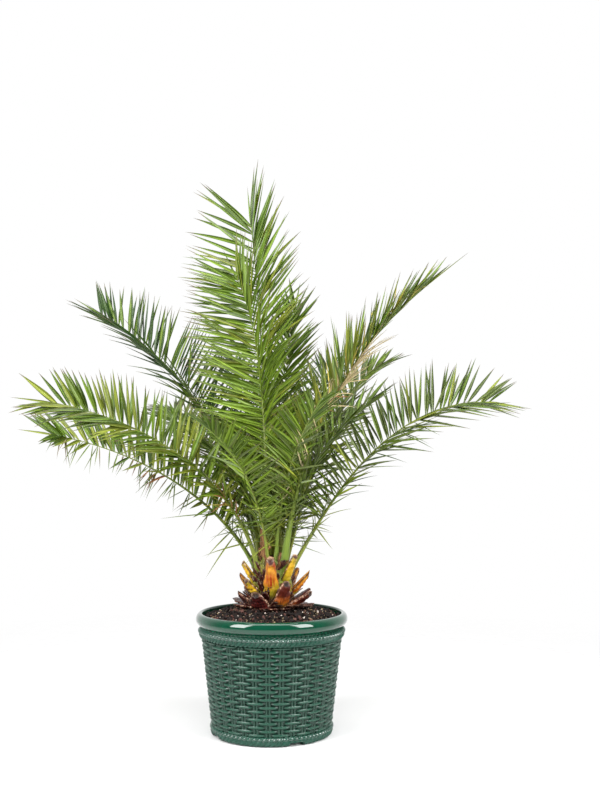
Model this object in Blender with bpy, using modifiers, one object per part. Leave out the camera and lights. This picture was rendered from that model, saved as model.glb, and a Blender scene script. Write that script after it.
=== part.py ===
"""Potted date palm: a planter of soil, a short trunk with its cut leaf bases, and a crown of fronds.

Metres, +Z up. The origin is the centre of the planter's flat underside. +X is to the right of its front, and
+Y runs away from the front.
"""

import math
import random
from collections import namedtuple

import bmesh
import bpy
from mathutils import Vector
from mathutils.bvhtree import BVHTree

MM = 0.001
GAP = 0.35 * MM
SEED = 12

# Planter, radii and heights
RIM_RADIUS = 152.5 * MM
RIM_CREST_RADIUS = 143.0 * MM
RIM_TOP = 238.5 * MM
RIM_ROLL_RADIUS = 12.0 * MM
WALL_FOOT_RADIUS = 118.1 * MM
WALL_SLOPE = 0.117
WALL_THICKNESS = 4.0 * MM
TOP_ROPE_HEIGHT = 206.5 * MM
TOP_ROPE_SIZE = 6.0 * MM
FOOT_ROPE_HEIGHT = 16.5 * MM
FOOT_ROPE_SIZE = 4.0 * MM
FOOT_RADIUS = 115.5 * MM
FOOT_RING_INNER = 104.0 * MM
FLOOR_UNDERSIDE = 5.0 * MM
FLOOR_TOP = 9.0 * MM
INNER_BEND_HEIGHT = 25.0 * MM
THROAT_RADIUS = 139.4 * MM
THROAT_HEIGHT = 232.5 * MM
CENTRE_PAD_RADIUS = 36.0 * MM
NOTCH_COUNT = 4
NOTCH_FIRST_AZIMUTH = 294.0
NOTCH_WIDTH = 24.0 * MM
POT_STEPS = 48

# Soil
SOIL_EDGE = 227.0 * MM
SOIL_CROWN = 246.0 * MM
SOIL_CROWN_RADIUS = 50.0 * MM
SOIL_STEPS = 30
DOME_RINGS = 5

# Trunk
TRUNK_FOOT = SOIL_CROWN + GAP
TRUNK_TOP = 352.0 * MM
TRUNK_FOOT_RADIUS = 46.0 * MM
TRUNK_NECK_RADIUS = 27.0 * MM
TRUNK_FLARE = 1.5
TRUNK_CAP = 18.0 * MM
TRUNK_LEAN = 0.03
TRUNK_STEPS = 20
TRUNK_RINGS = 7
CAP_RINGS = (0.25, 0.5, 0.78, 1.0)

# Ribs of the fronds, as shares of the frond's length or in metres
RIB_SECTIONS = 11
RIB_BASE_SHARE = 0.0108
RIB_TIP_HALF_WIDTH = 2.0 * MM
RIB_TAPER = 2.2
RIB_DEPTH_SHARE = 0.7
RIB_SINK = 5.0 * MM
ROLL_DONE = 0.45

# Leaflets
LEAF_PAIRS = 17
LEAF_ZONE_START = 0.22
LONGEST_ZONE = 0.4
END_LEAF_SHARE = 0.86
LEAF_WIDTH = 15.0 * MM
LEAF_DEPTH = 1.6 * MM
LEAF_WIDEST = 0.32
LEAF_SINK_SHARE = 0.6
LEAF_CLEARANCE = 1.0 * MM
# A leaflet's length share and swing in degrees, tried in this order until it is clear of the other fronds
LEAF_TRIALS = (
    (1.0, 0.0),
    (1.0, 7.0),
    (1.0, -7.0),
    (0.8, 0.0),
    (0.8, 9.0),
    (0.62, 0.0),
    (0.62, -9.0),
    (0.45, 0.0),
)

# Foot, length and leaf are in millimetres, and angles in degrees. A frond heads for azimuth, then sways by
# some degrees. Its rise falls from rise_start to rise_end, late for a bend over 1. Roll turns its back row
# of leaflets up and its front row down. Skew spreads the back row and closes the front row. A stalk that
# stands apart from the frond's heading has a foot_azimuth of its own. Vee lifts both rows of leaflets, and taper is
# the share by which they shorten towards the tip.
FROND_FIELDS = (
    "name",
    "azimuth",
    "foot",
    "rise_start",
    "rise_end",
    "bend",
    "length",
    "leaf",
    "tone",
    "roll",
    "skew",
    "sway",
    "front_share",
    "foot_azimuth",
    "vee",
    "taper",
)
Frond = namedtuple("Frond", FROND_FIELDS, defaults=(0, 0, 0, 1.0, None, 0, 0.2))
FRONDS = (
    Frond("frond_left_low", 172, 305, 74, 10, 0.6, 542, 104, "leaf_green", 62, 0, 4, 0.48, 167, -14),
    Frond("frond_right", -4, 308, 60, -6, 2.2, 586, 122, "leaf_green", 45, 9, 12),
    Frond("frond_left", 194, 308, 86, 9, 0.68, 572, 112, "leaf_yellow_green", 58, 9, 0, 1.0, 199),
    Frond("frond_back_low", 86, 304, 66, 10, 1.0, 545, 116, "leaf_green", 10, 0, 12),
    Frond("frond_back_left_low", 127, 306, 68, 12, 1.1, 560, 116, "leaf_green", 20, 0, -8),
    Frond("frond_back_right_low", 60, 306, 70, 18, 1.1, 510, 116, "leaf_green", 20, 0, 8, 1.0, 48),
    Frond("frond_up_left", 149, 326, 82, 26, 0.86, 708, 140, "leaf_deep_green", 27, 4, 1, 0.9, None, 18),
    Frond("frond_up_right", -38, 324, 82, 36, 1.12, 646, 146, "leaf_yellow_green", 27, 6, 11, 1.0, None, 12, 0.5),
    Frond("frond_mid_right", 20, 326, 73, 27, 3.0, 482, 106, "leaf_green", 15, 8, 8),
    Frond("frond_back_left_mid", 102, 328, 78, 34, 1.0, 545, 108, "leaf_deep_green", 8, 0, 8, 1.0, 98),
    Frond("frond_back_right_mid", 66, 328, 78, 36, 1.1, 520, 108, "leaf_deep_green", 10, 0, -6, 1.0, 62),
    Frond("frond_front_left", 236, 328, 84, 30, 1.0, 340, 92, "leaf_green", 10, 0, -8, 1.0, 247),
    Frond("frond_front_right", 296, 342, 86, 40, 1.0, 350, 96, "leaf_yellow_green", 0, 0, 6, 1.0, 285),
    Frond("frond_left_inner", 168, 339, 86, 23, 1.0, 372, 100, "leaf_green", 20, 0, -6, 1.0, 220),
    Frond("frond_right_up", 354, 342, 84, 38, 1.0, 372, 100, "leaf_green", 20, 0, 4, 1.0, 351),
    Frond("frond_back_right_up", 84, 348, 82, 64, 1.9, 535, 110, "leaf_green", 0, -4, -16, 1.0, 30),
    Frond("frond_top", 115, 348, 86, 70, 1.4, 722, 142, "leaf_green", 56, -9, -9, 1.26, None, 0, -0.06),
    Frond("frond_top_left", 133, 348, 88, 48, 3.0, 605, 146, "leaf_green", 72, -3, -14, 1.16, 200, 0, 0.1),
)

# Cut leaf bases: angles in degrees, sizes in millimetres, and lean away from upright
Stub = namedtuple("Stub", "azimuth foot lean length width tone")
STUBS = (
    # Fresh yellow bases of the upper row
    Stub(188, 298, 30, 52, 15, "base_yellow"),
    Stub(313, 300, 27, 66, 19, "base_yellow"),
    Stub(75, 296, 30, 58, 22, "base_yellow"),
    Stub(135, 300, 30, 56, 20, "base_yellow"),
    # Orange bases of the middle row
    Stub(267, 278, 20, 82, 34, "base_orange"),
    Stub(217, 280, 43, 42, 19, "base_yellow"),
    Stub(350, 278, 40, 60, 17, "base_orange"),
    Stub(42, 276, 34, 56, 26, "base_orange"),
    Stub(104, 274, 38, 58, 28, "base_orange"),
    Stub(160, 276, 40, 50, 24, "base_orange"),
    # Dark bases of the lower row
    Stub(193, 260, 52, 38, 20, "base_brown"),
    Stub(241, 254, 38, 40, 38, "base_brown"),
    Stub(293, 258, 30, 58, 30, "base_brown"),
    Stub(324, 254, 56, 62, 28, "base_brown"),
    Stub(18, 256, 54, 48, 28, "base_brown"),
    Stub(72, 255, 50, 46, 32, "base_brown"),
    Stub(130, 256, 55, 50, 30, "base_brown"),
)
HUSKS = (
    # Old husks that lie out over the soil
    Stub(203, 252, 78, 42, 26, "base_brown"),
    Stub(262, 251, 80, 34, 30, "base_brown"),
    Stub(304, 251, 80, 30, 26, "base_brown"),
    Stub(346, 252, 79, 46, 22, "base_brown"),
    Stub(46, 251, 80, 38, 28, "base_brown"),
    Stub(100, 251, 80, 38, 28, "base_brown"),
    Stub(160, 252, 78, 40, 26, "base_brown"),
)
STUB_THICKNESS = 11.0 * MM
HUSK_THICKNESS = 5.5 * MM
STUB_SINK = 4.0 * MM
STUB_OUTWARD_BEND = 8.0
# Share of the length, with the width's and the thickness's share there
STUB_SHAPE = ((0.0, 0.5, 0.3), (0.2, 1.0, 1.0), (0.6, 0.74, 0.85), (1.0, 0.5, 0.62))

Tone = namedtuple("Tone", "color roughness metallic")
TONES = {
    "pot_green": Tone((0.012, 0.115, 0.062), 0.28, 0.0),
    "soil_brown": Tone((0.055, 0.032, 0.022), 0.95, 0.0),
    "bark_brown": Tone((0.075, 0.030, 0.020), 0.8, 0.0),
    "base_yellow": Tone((0.62, 0.34, 0.035), 0.5, 0.0),
    "base_orange": Tone((0.50, 0.19, 0.03), 0.5, 0.0),
    "base_brown": Tone((0.10, 0.022, 0.018), 0.6, 0.0),
    "leaf_green": Tone((0.115, 0.215, 0.045), 0.5, 0.0),
    "leaf_deep_green": Tone((0.05, 0.135, 0.04), 0.5, 0.0),
    "leaf_yellow_green": Tone((0.20, 0.26, 0.05), 0.5, 0.0),
}


def clear_scene():
    for obj in list(bpy.data.objects):
        bpy.data.objects.remove(obj, do_unlink=True)


def new_collection(name, rendered=True):
    collection = bpy.data.collections.new(name)
    collection.hide_render = not rendered
    bpy.context.scene.collection.children.link(collection)
    return collection


def make_material(name):
    tone = TONES[name]
    material = bpy.data.materials.new(name)
    material.use_nodes = True
    shader = material.node_tree.nodes["Principled BSDF"]
    shader.inputs["Base Color"].default_value = (*tone.color, 1.0)
    shader.inputs["Roughness"].default_value = tone.roughness
    shader.inputs["Metallic"].default_value = tone.metallic
    return material


def add_part(name, mesh, collection, material):
    obj = bpy.data.objects.new(name, mesh)
    collection.objects.link(obj)
    mesh.materials.clear()
    mesh.materials.append(material)
    return obj


def add_helper(name, mesh, collection):
    obj = bpy.data.objects.new(name, mesh)
    collection.objects.link(obj)
    obj.hide_render = True
    obj.display_type = "WIRE"
    return obj


def mesh_from(bm, name):
    mesh = bpy.data.meshes.new(name)
    bm.to_mesh(mesh)
    bm.free()
    return mesh


def polar(azimuth, radius, height):
    angle = math.radians(azimuth)
    return Vector((radius * math.cos(angle), radius * math.sin(angle), height))


def evaluated_mesh(obj):
    """The object's mesh with its modifiers applied, as a new mesh."""
    bpy.context.view_layer.update()
    graph = bpy.context.evaluated_depsgraph_get()
    return bpy.data.meshes.new_from_object(obj.evaluated_get(graph))


def turned_mesh(name, profile, steps, collection):
    """A solid of revolution. The profile starts and ends on the axis and runs down its outer side."""
    mesh = bpy.data.meshes.new(name)
    points = [(radius, 0.0, height) for radius, height in profile]
    mesh.from_pydata(points, [(i, i + 1) for i in range(len(points) - 1)], [])
    obj = add_helper(name, mesh, collection)
    screw = obj.modifiers.new("Turn", "SCREW")
    screw.axis = "Z"
    screw.steps = steps
    screw.render_steps = steps
    screw.use_merge_vertices = True
    screw.merge_threshold = 0.02 * MM
    turned = evaluated_mesh(obj)
    bpy.data.objects.remove(obj)
    bpy.data.meshes.remove(mesh)
    turned.name = name
    turned.shade_smooth()
    turned.set_sharp_from_angle(angle=math.radians(35))
    return turned


def loft(rings):
    """A closed mesh through rings of equal count, capped at both ends."""
    bm = bmesh.new()
    rows = [[bm.verts.new(point) for point in ring] for ring in rings]
    sides = len(rows[0])
    for low, high in zip(rows, rows[1:]):
        for i in range(sides):
            j = (i + 1) % sides
            bm.faces.new((low[i], low[j], high[j], high[i]))
    bm.faces.new(rows[0][::-1])
    bm.faces.new(rows[-1])
    bmesh.ops.recalc_face_normals(bm, faces=bm.faces)
    return mesh_from(bm, "loft")


def apply_boolean(obj, operation, helpers):
    """Applies one Boolean of obj with every object in the helpers' collection, which is then emptied."""
    modifier = obj.modifiers.new("Boolean", "BOOLEAN")
    modifier.operation = operation
    modifier.operand_type = "COLLECTION"
    modifier.collection = helpers
    modifier.solver = "EXACT"
    result = evaluated_mesh(obj)
    obj.modifiers.clear()
    obj.data = result
    for helper in list(helpers.objects):
        bpy.data.objects.remove(helper, do_unlink=True)


def keep_largest_shell(mesh):
    """Drops loose scraps and the skins of sealed hollows, which a union can leave behind."""
    bm = bmesh.new()
    bm.from_mesh(mesh)
    unseen = set(bm.faces)
    shells = []
    while unseen:
        front = [unseen.pop()]
        shell = list(front)
        while front:
            face = front.pop()
            near = {other for edge in face.edges for other in edge.link_faces} & unseen
            unseen -= near
            shell.extend(near)
            front.extend(near)
        shells.append(shell)
    shells.sort(key=len)
    for shell in shells[:-1]:
        bmesh.ops.delete(bm, geom=shell, context="FACES")
    bm.to_mesh(mesh)
    bm.free()


def arc(centre, radius_x, radius_z, start, end, count):
    """Points of an elliptical arc in the profile plane, angles in degrees."""
    points = []
    for i in range(count + 1):
        angle = math.radians(start + (end - start) * i / count)
        points.append((centre[0] + radius_x * math.cos(angle), centre[1] + radius_z * math.sin(angle)))
    return points


def wall_radius(height):
    return WALL_FOOT_RADIUS + WALL_SLOPE * height


def inner_radius(height):
    """The planter's inside runs straight from just above its floor to its throat under the rim."""
    share = (height - INNER_BEND_HEIGHT) / (THROAT_HEIGHT - INNER_BEND_HEIGHT)
    foot = wall_radius(INNER_BEND_HEIGHT) - WALL_THICKNESS
    return foot + (THROAT_RADIUS - foot) * share


def floor_profile(offset):
    """The planter's inside from the middle of its floor to the foot of its wall, moved inwards by offset."""
    foot = inner_radius(INNER_BEND_HEIGHT) - offset
    return [
        (0.0, FLOOR_TOP + offset),
        (foot - 8 * MM, FLOOR_TOP + offset),
        (foot - 2 * MM, FLOOR_TOP + 5 * MM + offset),
        (foot, INNER_BEND_HEIGHT),
    ]


def pot_profile():
    """Up the inside, over the rolled rim, down past both rope rings, and across the hollow underside."""
    roll = (RIM_CREST_RADIUS, RIM_TOP - RIM_ROLL_RADIUS)
    roll_width = RIM_RADIUS - RIM_CREST_RADIUS
    top_rope = (wall_radius(TOP_ROPE_HEIGHT), TOP_ROPE_HEIGHT)
    foot_rope = (wall_radius(FOOT_ROPE_HEIGHT), FOOT_ROPE_HEIGHT)
    foot_rope_low = FOOT_ROPE_HEIGHT - 1.3 * FOOT_ROPE_SIZE
    outer = arc(roll, roll_width, RIM_ROLL_RADIUS, 90, 0, 3)
    outer += arc(roll, roll_width, RIM_ROLL_RADIUS, -28, -80, 1)
    outer += arc(top_rope, 0.7 * TOP_ROPE_SIZE, TOP_ROPE_SIZE, 75, -90, 3)
    outer += arc(foot_rope, 0.5 * FOOT_ROPE_SIZE, FOOT_ROPE_SIZE, 90, -70, 2)
    outer += [
        (FOOT_RADIUS, foot_rope_low),
        (FOOT_RADIUS - 0.4 * MM, 2.5 * MM),
        (FOOT_RADIUS - 2.5 * MM, 0.0),
        (FOOT_RING_INNER, 0.0),
        (FOOT_RING_INNER - MM, FLOOR_UNDERSIDE),
        (CENTRE_PAD_RADIUS + MM, FLOOR_UNDERSIDE),
        (CENTRE_PAD_RADIUS, 0.0),
        (0.0, 0.0),
    ]
    lip = [(THROAT_RADIUS, THROAT_HEIGHT), (RIM_CREST_RADIUS - 2.6 * MM, RIM_TOP - 1.6 * MM)]
    return floor_profile(0.0) + lip + outer


def build_pot(parts, helpers, material):
    """The planter, with drainage notches through its foot ring."""
    mesh = turned_mesh("pot", pot_profile(), POT_STEPS, helpers)
    pot = add_part("pot", mesh, parts, material)
    depth = FOOT_RADIUS - FOOT_RING_INNER + 6 * MM
    middle = (FOOT_RADIUS + FOOT_RING_INNER) / 2
    for index in range(NOTCH_COUNT):
        azimuth = NOTCH_FIRST_AZIMUTH + index * 360.0 / NOTCH_COUNT
        bm = bmesh.new()
        bmesh.ops.create_cube(bm, size=1.0)
        bmesh.ops.scale(bm, vec=(depth, NOTCH_WIDTH, 2 * FLOOR_UNDERSIDE - MM), verts=bm.verts)
        cutter = add_helper("notch", mesh_from(bm, "notch"), helpers)
        cutter.location = polar(azimuth, middle, 0.0)
        cutter.rotation_euler.z = math.radians(azimuth)
    apply_boolean(pot, "DIFFERENCE", helpers)


def build_soil(parts, helpers, material):
    """The soil fills the planter, and rises from its edge to a flat crown under the trunk."""
    edge_radius = inner_radius(SOIL_EDGE) - GAP
    rise = SOIL_CROWN - SOIL_EDGE
    dome = []
    for i in range(DOME_RINGS + 1):
        share = i / DOME_RINGS
        radius = edge_radius + (SOIL_CROWN_RADIUS - edge_radius) * share
        dome.append((radius, SOIL_EDGE + rise * math.sin(share * math.pi / 2)))
    outline = floor_profile(GAP) + dome + [(0.0, SOIL_CROWN)]
    mesh = turned_mesh("soil", outline[::-1], SOIL_STEPS, helpers)
    add_part("soil", mesh, parts, material)


def trunk_radius(height):
    share = (TRUNK_TOP - height) / (TRUNK_TOP - TRUNK_FOOT)
    side = TRUNK_NECK_RADIUS + (TRUNK_FOOT_RADIUS - TRUNK_NECK_RADIUS) * max(share, 0.0) ** TRUNK_FLARE
    if height > TRUNK_TOP - TRUNK_CAP:
        into_cap = (height - TRUNK_TOP + TRUNK_CAP) / TRUNK_CAP
        return side * math.sqrt(max(0.0, 1 - into_cap**2))
    return side


def trunk_axis(height):
    return Vector((TRUNK_LEAN * (height - TRUNK_FOOT), 0.0, height))


def trunk_mesh(name, grow, helpers):
    """The trunk's shape, or one grown on every side to cut the pieces that it carries."""
    profile = [(0.0, TRUNK_TOP + grow)]
    for share in CAP_RINGS:
        upness = math.sqrt(1 - share**2)
        height = TRUNK_TOP - TRUNK_CAP * (1 - upness)
        profile.append((trunk_radius(height) + grow * share, height + grow * upness))
    shoulder = TRUNK_TOP - TRUNK_CAP
    for i in range(1, TRUNK_RINGS + 1):
        height = shoulder + (TRUNK_FOOT - shoulder) * i / TRUNK_RINGS
        profile.append((trunk_radius(height) + grow, height))
    profile[-1] = (profile[-1][0], TRUNK_FOOT - grow)
    profile.append((0.0, TRUNK_FOOT - grow))
    mesh = turned_mesh(name, profile, TRUNK_STEPS, helpers)
    for vertex in mesh.vertices:
        vertex.co.x += TRUNK_LEAN * (vertex.co.z - TRUNK_FOOT)
    return mesh


def cut_by_trunk(obj, helpers):
    add_helper("trunk_cutter", trunk_mesh("trunk_cutter", GAP, helpers), helpers)
    apply_boolean(obj, "DIFFERENCE", helpers)


def stub_mesh(stub, thickness):
    """A cut leaf base: a scale that widens out of the trunk, then narrows to its flat cut end."""
    foot = stub.foot * MM
    point = trunk_axis(foot) + polar(stub.azimuth, trunk_radius(foot) - STUB_SINK, 0.0)
    across = polar(stub.azimuth + 90, 1.0, 0.0)
    rings = []
    last = 0.0
    for share, width_share, depth_share in STUB_SHAPE:
        lean = math.radians(stub.lean + STUB_OUTWARD_BEND * share)
        along = polar(stub.azimuth, math.sin(lean), math.cos(lean))
        outward = polar(stub.azimuth, math.cos(lean), -math.sin(lean))
        point = point + along * (stub.length * MM * (share - last))
        last = share
        half = 0.5 * stub.width * MM * width_share
        depth = thickness * depth_share
        rings.append(
            [
                point - across * half,
                point + across * half,
                point + across * half * 0.8 + outward * depth * 0.6,
                point + outward * depth,
                point - across * half * 0.8 + outward * depth * 0.6,
            ]
        )
    return loft(rings)


def build_stubs(parts, helpers, materials):
    kinds = (("leaf_base", STUBS, STUB_THICKNESS), ("husk", HUSKS, HUSK_THICKNESS))
    for kind, stubs, thickness in kinds:
        for index, stub in enumerate(stubs):
            name = f"{kind}_{index + 1:02d}"
            obj = add_part(name, stub_mesh(stub, thickness), parts, materials[stub.tone])
            cut_by_trunk(obj, helpers)


class Rib:
    """The curve of one frond's stalk and midrib, with a frame of directions along it."""

    SAMPLES = 200

    def __init__(self, frond):
        self.frond = frond
        foot = frond.foot * MM
        foot_azimuth = frond.azimuth if frond.foot_azimuth is None else frond.foot_azimuth
        self.length = frond.length * MM
        self.points = [trunk_axis(foot) + polar(foot_azimuth, trunk_radius(foot) - RIB_SINK, 0.0)]
        step = self.length / self.SAMPLES
        for i in range(self.SAMPLES):
            self.points.append(self.points[-1] + self.tangent((i + 0.5) / self.SAMPLES) * step)

    def heading(self, share):
        return self.frond.azimuth + self.frond.sway * share

    def rise(self, share):
        frond = self.frond
        return math.radians(frond.rise_start + (frond.rise_end - frond.rise_start) * share**frond.bend)

    def tangent(self, share):
        rise = self.rise(share)
        return polar(self.heading(share), math.cos(rise), math.sin(rise))

    def point(self, share):
        place = min(max(share, 0.0), 1.0) * self.SAMPLES
        low = min(int(place), self.SAMPLES - 1)
        return self.points[low].lerp(self.points[low + 1], place - low)

    def frame(self, share):
        """Directions along the rib, to its row of leaflets nearer the back, and out of its upper face."""
        rise = self.rise(share)
        heading = self.heading(share)
        along = self.tangent(share)
        upper = polar(heading, -math.sin(rise), math.cos(rise))
        back = along.cross(upper)
        if math.cos(math.radians(self.frond.azimuth)) > 0:
            back.negate()
        roll = math.radians(self.frond.roll) * min(1.0, share / ROLL_DONE)
        rolled_back = back * math.cos(roll) + upper * math.sin(roll)
        rolled_upper = upper * math.cos(roll) - back * math.sin(roll)
        return along, rolled_back, rolled_upper

    def half_width(self, share):
        base = RIB_BASE_SHARE * self.length
        return RIB_TIP_HALF_WIDTH + (base - RIB_TIP_HALF_WIDTH) * (1 - share) ** RIB_TAPER

    def mesh(self):
        rings = []
        for i in range(RIB_SECTIONS):
            share = i / (RIB_SECTIONS - 1)
            _, back, upper = self.frame(share)
            centre = self.point(share)
            half = self.half_width(share)
            depth = RIB_DEPTH_SHARE * half
            rings.append(
                [
                    centre - back * half + upper * depth * 0.6,
                    centre + back * half + upper * depth * 0.6,
                    centre + back * half * 0.6 - upper * depth,
                    centre - back * half * 0.6 - upper * depth,
                ]
            )
        return loft(rings)


Leaf = namedtuple("Leaf", "root along across length width")


def leaf_length_share(zone, taper):
    """Leaflets lengthen up to the middle of the blade, and change by taper from there to its tip."""
    if zone < LONGEST_ZONE:
        return 0.6 + 0.4 * math.sin(math.pi / 2 * zone / LONGEST_ZONE)
    return 1.0 - taper * ((zone - LONGEST_ZONE) / (1 - LONGEST_ZONE)) ** 2


def leaf_of(rib, zone, row, rng):
    """One leaflet of the back row, 1, or the front row, -1. Zone runs from 0, the lowest leaflet, to 1."""
    frond = rib.frond
    share = LEAF_ZONE_START + (1 - LEAF_ZONE_START) * zone
    along, back, upper = rib.frame(share)
    spread = math.radians(68 - 16 * zone - 26 * zone**5 + frond.skew * row + rng.uniform(-4, 4))
    lift = math.radians(30 - 12 * zone + frond.vee + rng.uniform(-6, 6))
    outward = back * (row * math.cos(lift)) + upper * math.sin(lift)
    direction = along * math.cos(spread) + outward * math.sin(spread)
    face = upper * math.cos(lift) - back * (row * math.sin(lift))
    across = direction.cross(face).normalized()
    length_share = leaf_length_share(zone, frond.taper)
    length = frond.leaf * MM * length_share * rng.uniform(0.94, 1.06)
    if row < 0:
        length *= frond.front_share
    width = LEAF_WIDTH * (0.7 + 0.3 * length_share)
    root = rib.point(share) - direction * (LEAF_SINK_SHARE * rib.half_width(share))
    return Leaf(root, direction, across, length, width)


def changed_leaf(leaf, length_share, swing):
    """The same leaflet shortened, and swung by degrees in its own plane."""
    angle = math.radians(swing)
    along = leaf.along * math.cos(angle) + leaf.across * math.sin(angle)
    across = leaf.across * math.cos(angle) - leaf.along * math.sin(angle)
    return Leaf(leaf.root, along, across, leaf.length * length_share, leaf.width)


def leaf_mesh(leaf, grow=0.0):
    """A slim blade, pointed at both ends, with a keel under its middle."""
    keel = leaf.along.cross(leaf.across).normalized()
    bm = bmesh.new()
    bmesh.ops.create_uvsphere(bm, u_segments=3, v_segments=2, radius=1.0)
    for vertex in bm.verts:
        x, y, z = vertex.co
        length = leaf.length * (LEAF_WIDEST + z * (LEAF_WIDEST if z < 0 else 1 - LEAF_WIDEST))
        if z > 0.5:
            length += grow
        across = y / math.sin(math.radians(120)) * (leaf.width / 2 + grow)
        depth = x * (LEAF_DEPTH + grow)
        vertex.co = leaf.root + leaf.along * length + leaf.across * across + keel * depth
    bmesh.ops.recalc_face_normals(bm, faces=bm.faces)
    return mesh_from(bm, "leaflet")


def tree_of(mesh):
    """A search tree of the mesh's faces, to find what meets it."""
    vertices = [vertex.co.copy() for vertex in mesh.vertices]
    return BVHTree.FromPolygons(vertices, [tuple(face.vertices) for face in mesh.polygons])


def bounds_of(mesh):
    points = [vertex.co for vertex in mesh.vertices]
    low = Vector(min(point[axis] for point in points) for axis in range(3))
    high = Vector(max(point[axis] for point in points) for axis in range(3))
    return low, high


class Occupied:
    """What stands in the crown so far, to keep each leaflet clear of every other frond."""

    def __init__(self):
        self.entries = []

    def add(self, owner, mesh):
        low, high = bounds_of(mesh)
        self.entries.append((owner, low, high, tree_of(mesh)))

    def meets(self, owner, mesh):
        low, high = bounds_of(mesh)
        tree = None
        for other, other_low, other_high, other_tree in self.entries:
            if other == owner:
                continue
            if any(low[a] > other_high[a] or high[a] < other_low[a] for a in range(3)):
                continue
            if tree is None:
                tree = tree_of(mesh)
            if tree.overlap(other_tree):
                return True
        return False


def place_leaves(ribs, occupied):
    """Leaflets from the tips inwards on all fronds in turn. One that meets another frond is left out."""
    rng = random.Random(SEED)
    placed = {rib.frond.name: [] for rib in ribs}
    for rank in reversed(range(LEAF_PAIRS)):
        for rib in ribs:
            name = rib.frond.name
            for row in (-1, 1):
                zone = (rank + 0.5 + 0.12 * row) / LEAF_PAIRS
                leaf = leaf_of(rib, zone, row, rng)
                for length_share, swing in LEAF_TRIALS:
                    trial = changed_leaf(leaf, length_share, swing)
                    grown = leaf_mesh(trial, LEAF_CLEARANCE)
                    blocked = occupied.meets(name, grown)
                    bpy.data.meshes.remove(grown)
                    if not blocked:
                        mesh = leaf_mesh(trial)
                        occupied.add(name, mesh)
                        placed[name].append(mesh)
                        break
    return placed


def end_leaf(rib):
    """The leaflet that carries on from the end of the rib."""
    along, back, _ = rib.frame(1.0)
    return Leaf(rib.point(0.985), along, back, rib.frond.leaf * MM * END_LEAF_SHARE, LEAF_WIDTH * 0.8)


def build_fronds(parts, helpers, materials):
    ribs = [Rib(frond) for frond in FRONDS]
    occupied = Occupied()
    for obj in parts.objects:
        occupied.add(obj.name, obj.data)
    ends = {}
    for rib in ribs:
        occupied.add(rib.frond.name, rib.mesh())
        ends[rib.frond.name] = leaf_mesh(end_leaf(rib))
        occupied.add(rib.frond.name, ends[rib.frond.name])
    placed = place_leaves(ribs, occupied)
    for rib in ribs:
        frond = rib.frond
        obj = add_part(frond.name, rib.mesh(), parts, materials[frond.tone])
        cut_by_trunk(obj, helpers)
        for mesh in placed[frond.name] + [ends[frond.name]]:
            add_helper("leaflet", mesh, helpers)
        apply_boolean(obj, "UNION", helpers)
        keep_largest_shell(obj.data)


def main():
    clear_scene()
    parts = new_collection("potted_date_palm")
    helpers = new_collection("cutters", rendered=False)
    materials = {name: make_material(name) for name in TONES}
    build_pot(parts, helpers, materials["pot_green"])
    build_soil(parts, helpers, materials["soil_brown"])
    add_part("trunk", trunk_mesh("trunk", 0.0, helpers), parts, materials["bark_brown"])
    build_stubs(parts, helpers, materials)
    build_fronds(parts, helpers, materials)


main()
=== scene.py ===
"""The looks of the potted date palm: a woven-look planter, soil, cut leaf bases and fronds of fine leaflets.

Metres, +Z up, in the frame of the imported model. Tables of fronds and leaf bases repeat the model's own sizes.
"""

import math
from collections import namedtuple

import bpy
import numpy as np
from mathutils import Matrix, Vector, noise


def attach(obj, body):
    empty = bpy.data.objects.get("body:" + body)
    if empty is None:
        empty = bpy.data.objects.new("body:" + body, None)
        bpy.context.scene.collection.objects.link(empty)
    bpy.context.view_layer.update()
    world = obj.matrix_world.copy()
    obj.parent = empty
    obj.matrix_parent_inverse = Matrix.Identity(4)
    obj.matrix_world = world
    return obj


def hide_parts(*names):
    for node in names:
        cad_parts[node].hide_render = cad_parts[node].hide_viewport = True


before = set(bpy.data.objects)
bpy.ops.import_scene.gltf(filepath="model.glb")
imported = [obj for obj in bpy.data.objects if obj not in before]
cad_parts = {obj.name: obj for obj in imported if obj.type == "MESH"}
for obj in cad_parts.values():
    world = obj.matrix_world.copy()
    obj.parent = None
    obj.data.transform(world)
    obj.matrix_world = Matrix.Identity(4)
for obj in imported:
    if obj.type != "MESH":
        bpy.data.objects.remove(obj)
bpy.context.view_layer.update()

MM = 0.001
SEED = 7
FULL_TURN = 2 * math.pi

# Camera, fitted to the photograph: 600 by 800 pixels, the pot's axis at column 272
CAMERA_PLACE = (0.0, -2.153, 0.557)
CAMERA_PITCH = 2.89
CAMERA_YAW = 1.51
CAMERA_LENS = 47.6

# Planter, as in the model
RIM_RADIUS = 152.5 * MM
RIM_CREST_RADIUS = 143.0 * MM
RIM_TOP = 238.5 * MM
RIM_ROLL_RADIUS = 12.0 * MM
RIM_COLUMNS = 240
# Heights where the wall meets the rim and the foot
RIM_SEAM = 213.0 * MM
FOOT_SEAM = 12.5 * MM
# Height of the plain wall behind the upper rope
PLAIN_RING = 205.0 * MM
WALL_FOOT_RADIUS = 118.1 * MM
WALL_SLOPE = 0.117
WALL_THICKNESS = 4.0 * MM
INNER_BEND_HEIGHT = 25.0 * MM
THROAT_START = 224.0 * MM
THROAT_RADIUS = 139.4 * MM
THROAT_HEIGHT = 232.5 * MM
FOOT_RADIUS = 115.5 * MM
FOOT_TOP = 14.0 * MM
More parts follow.
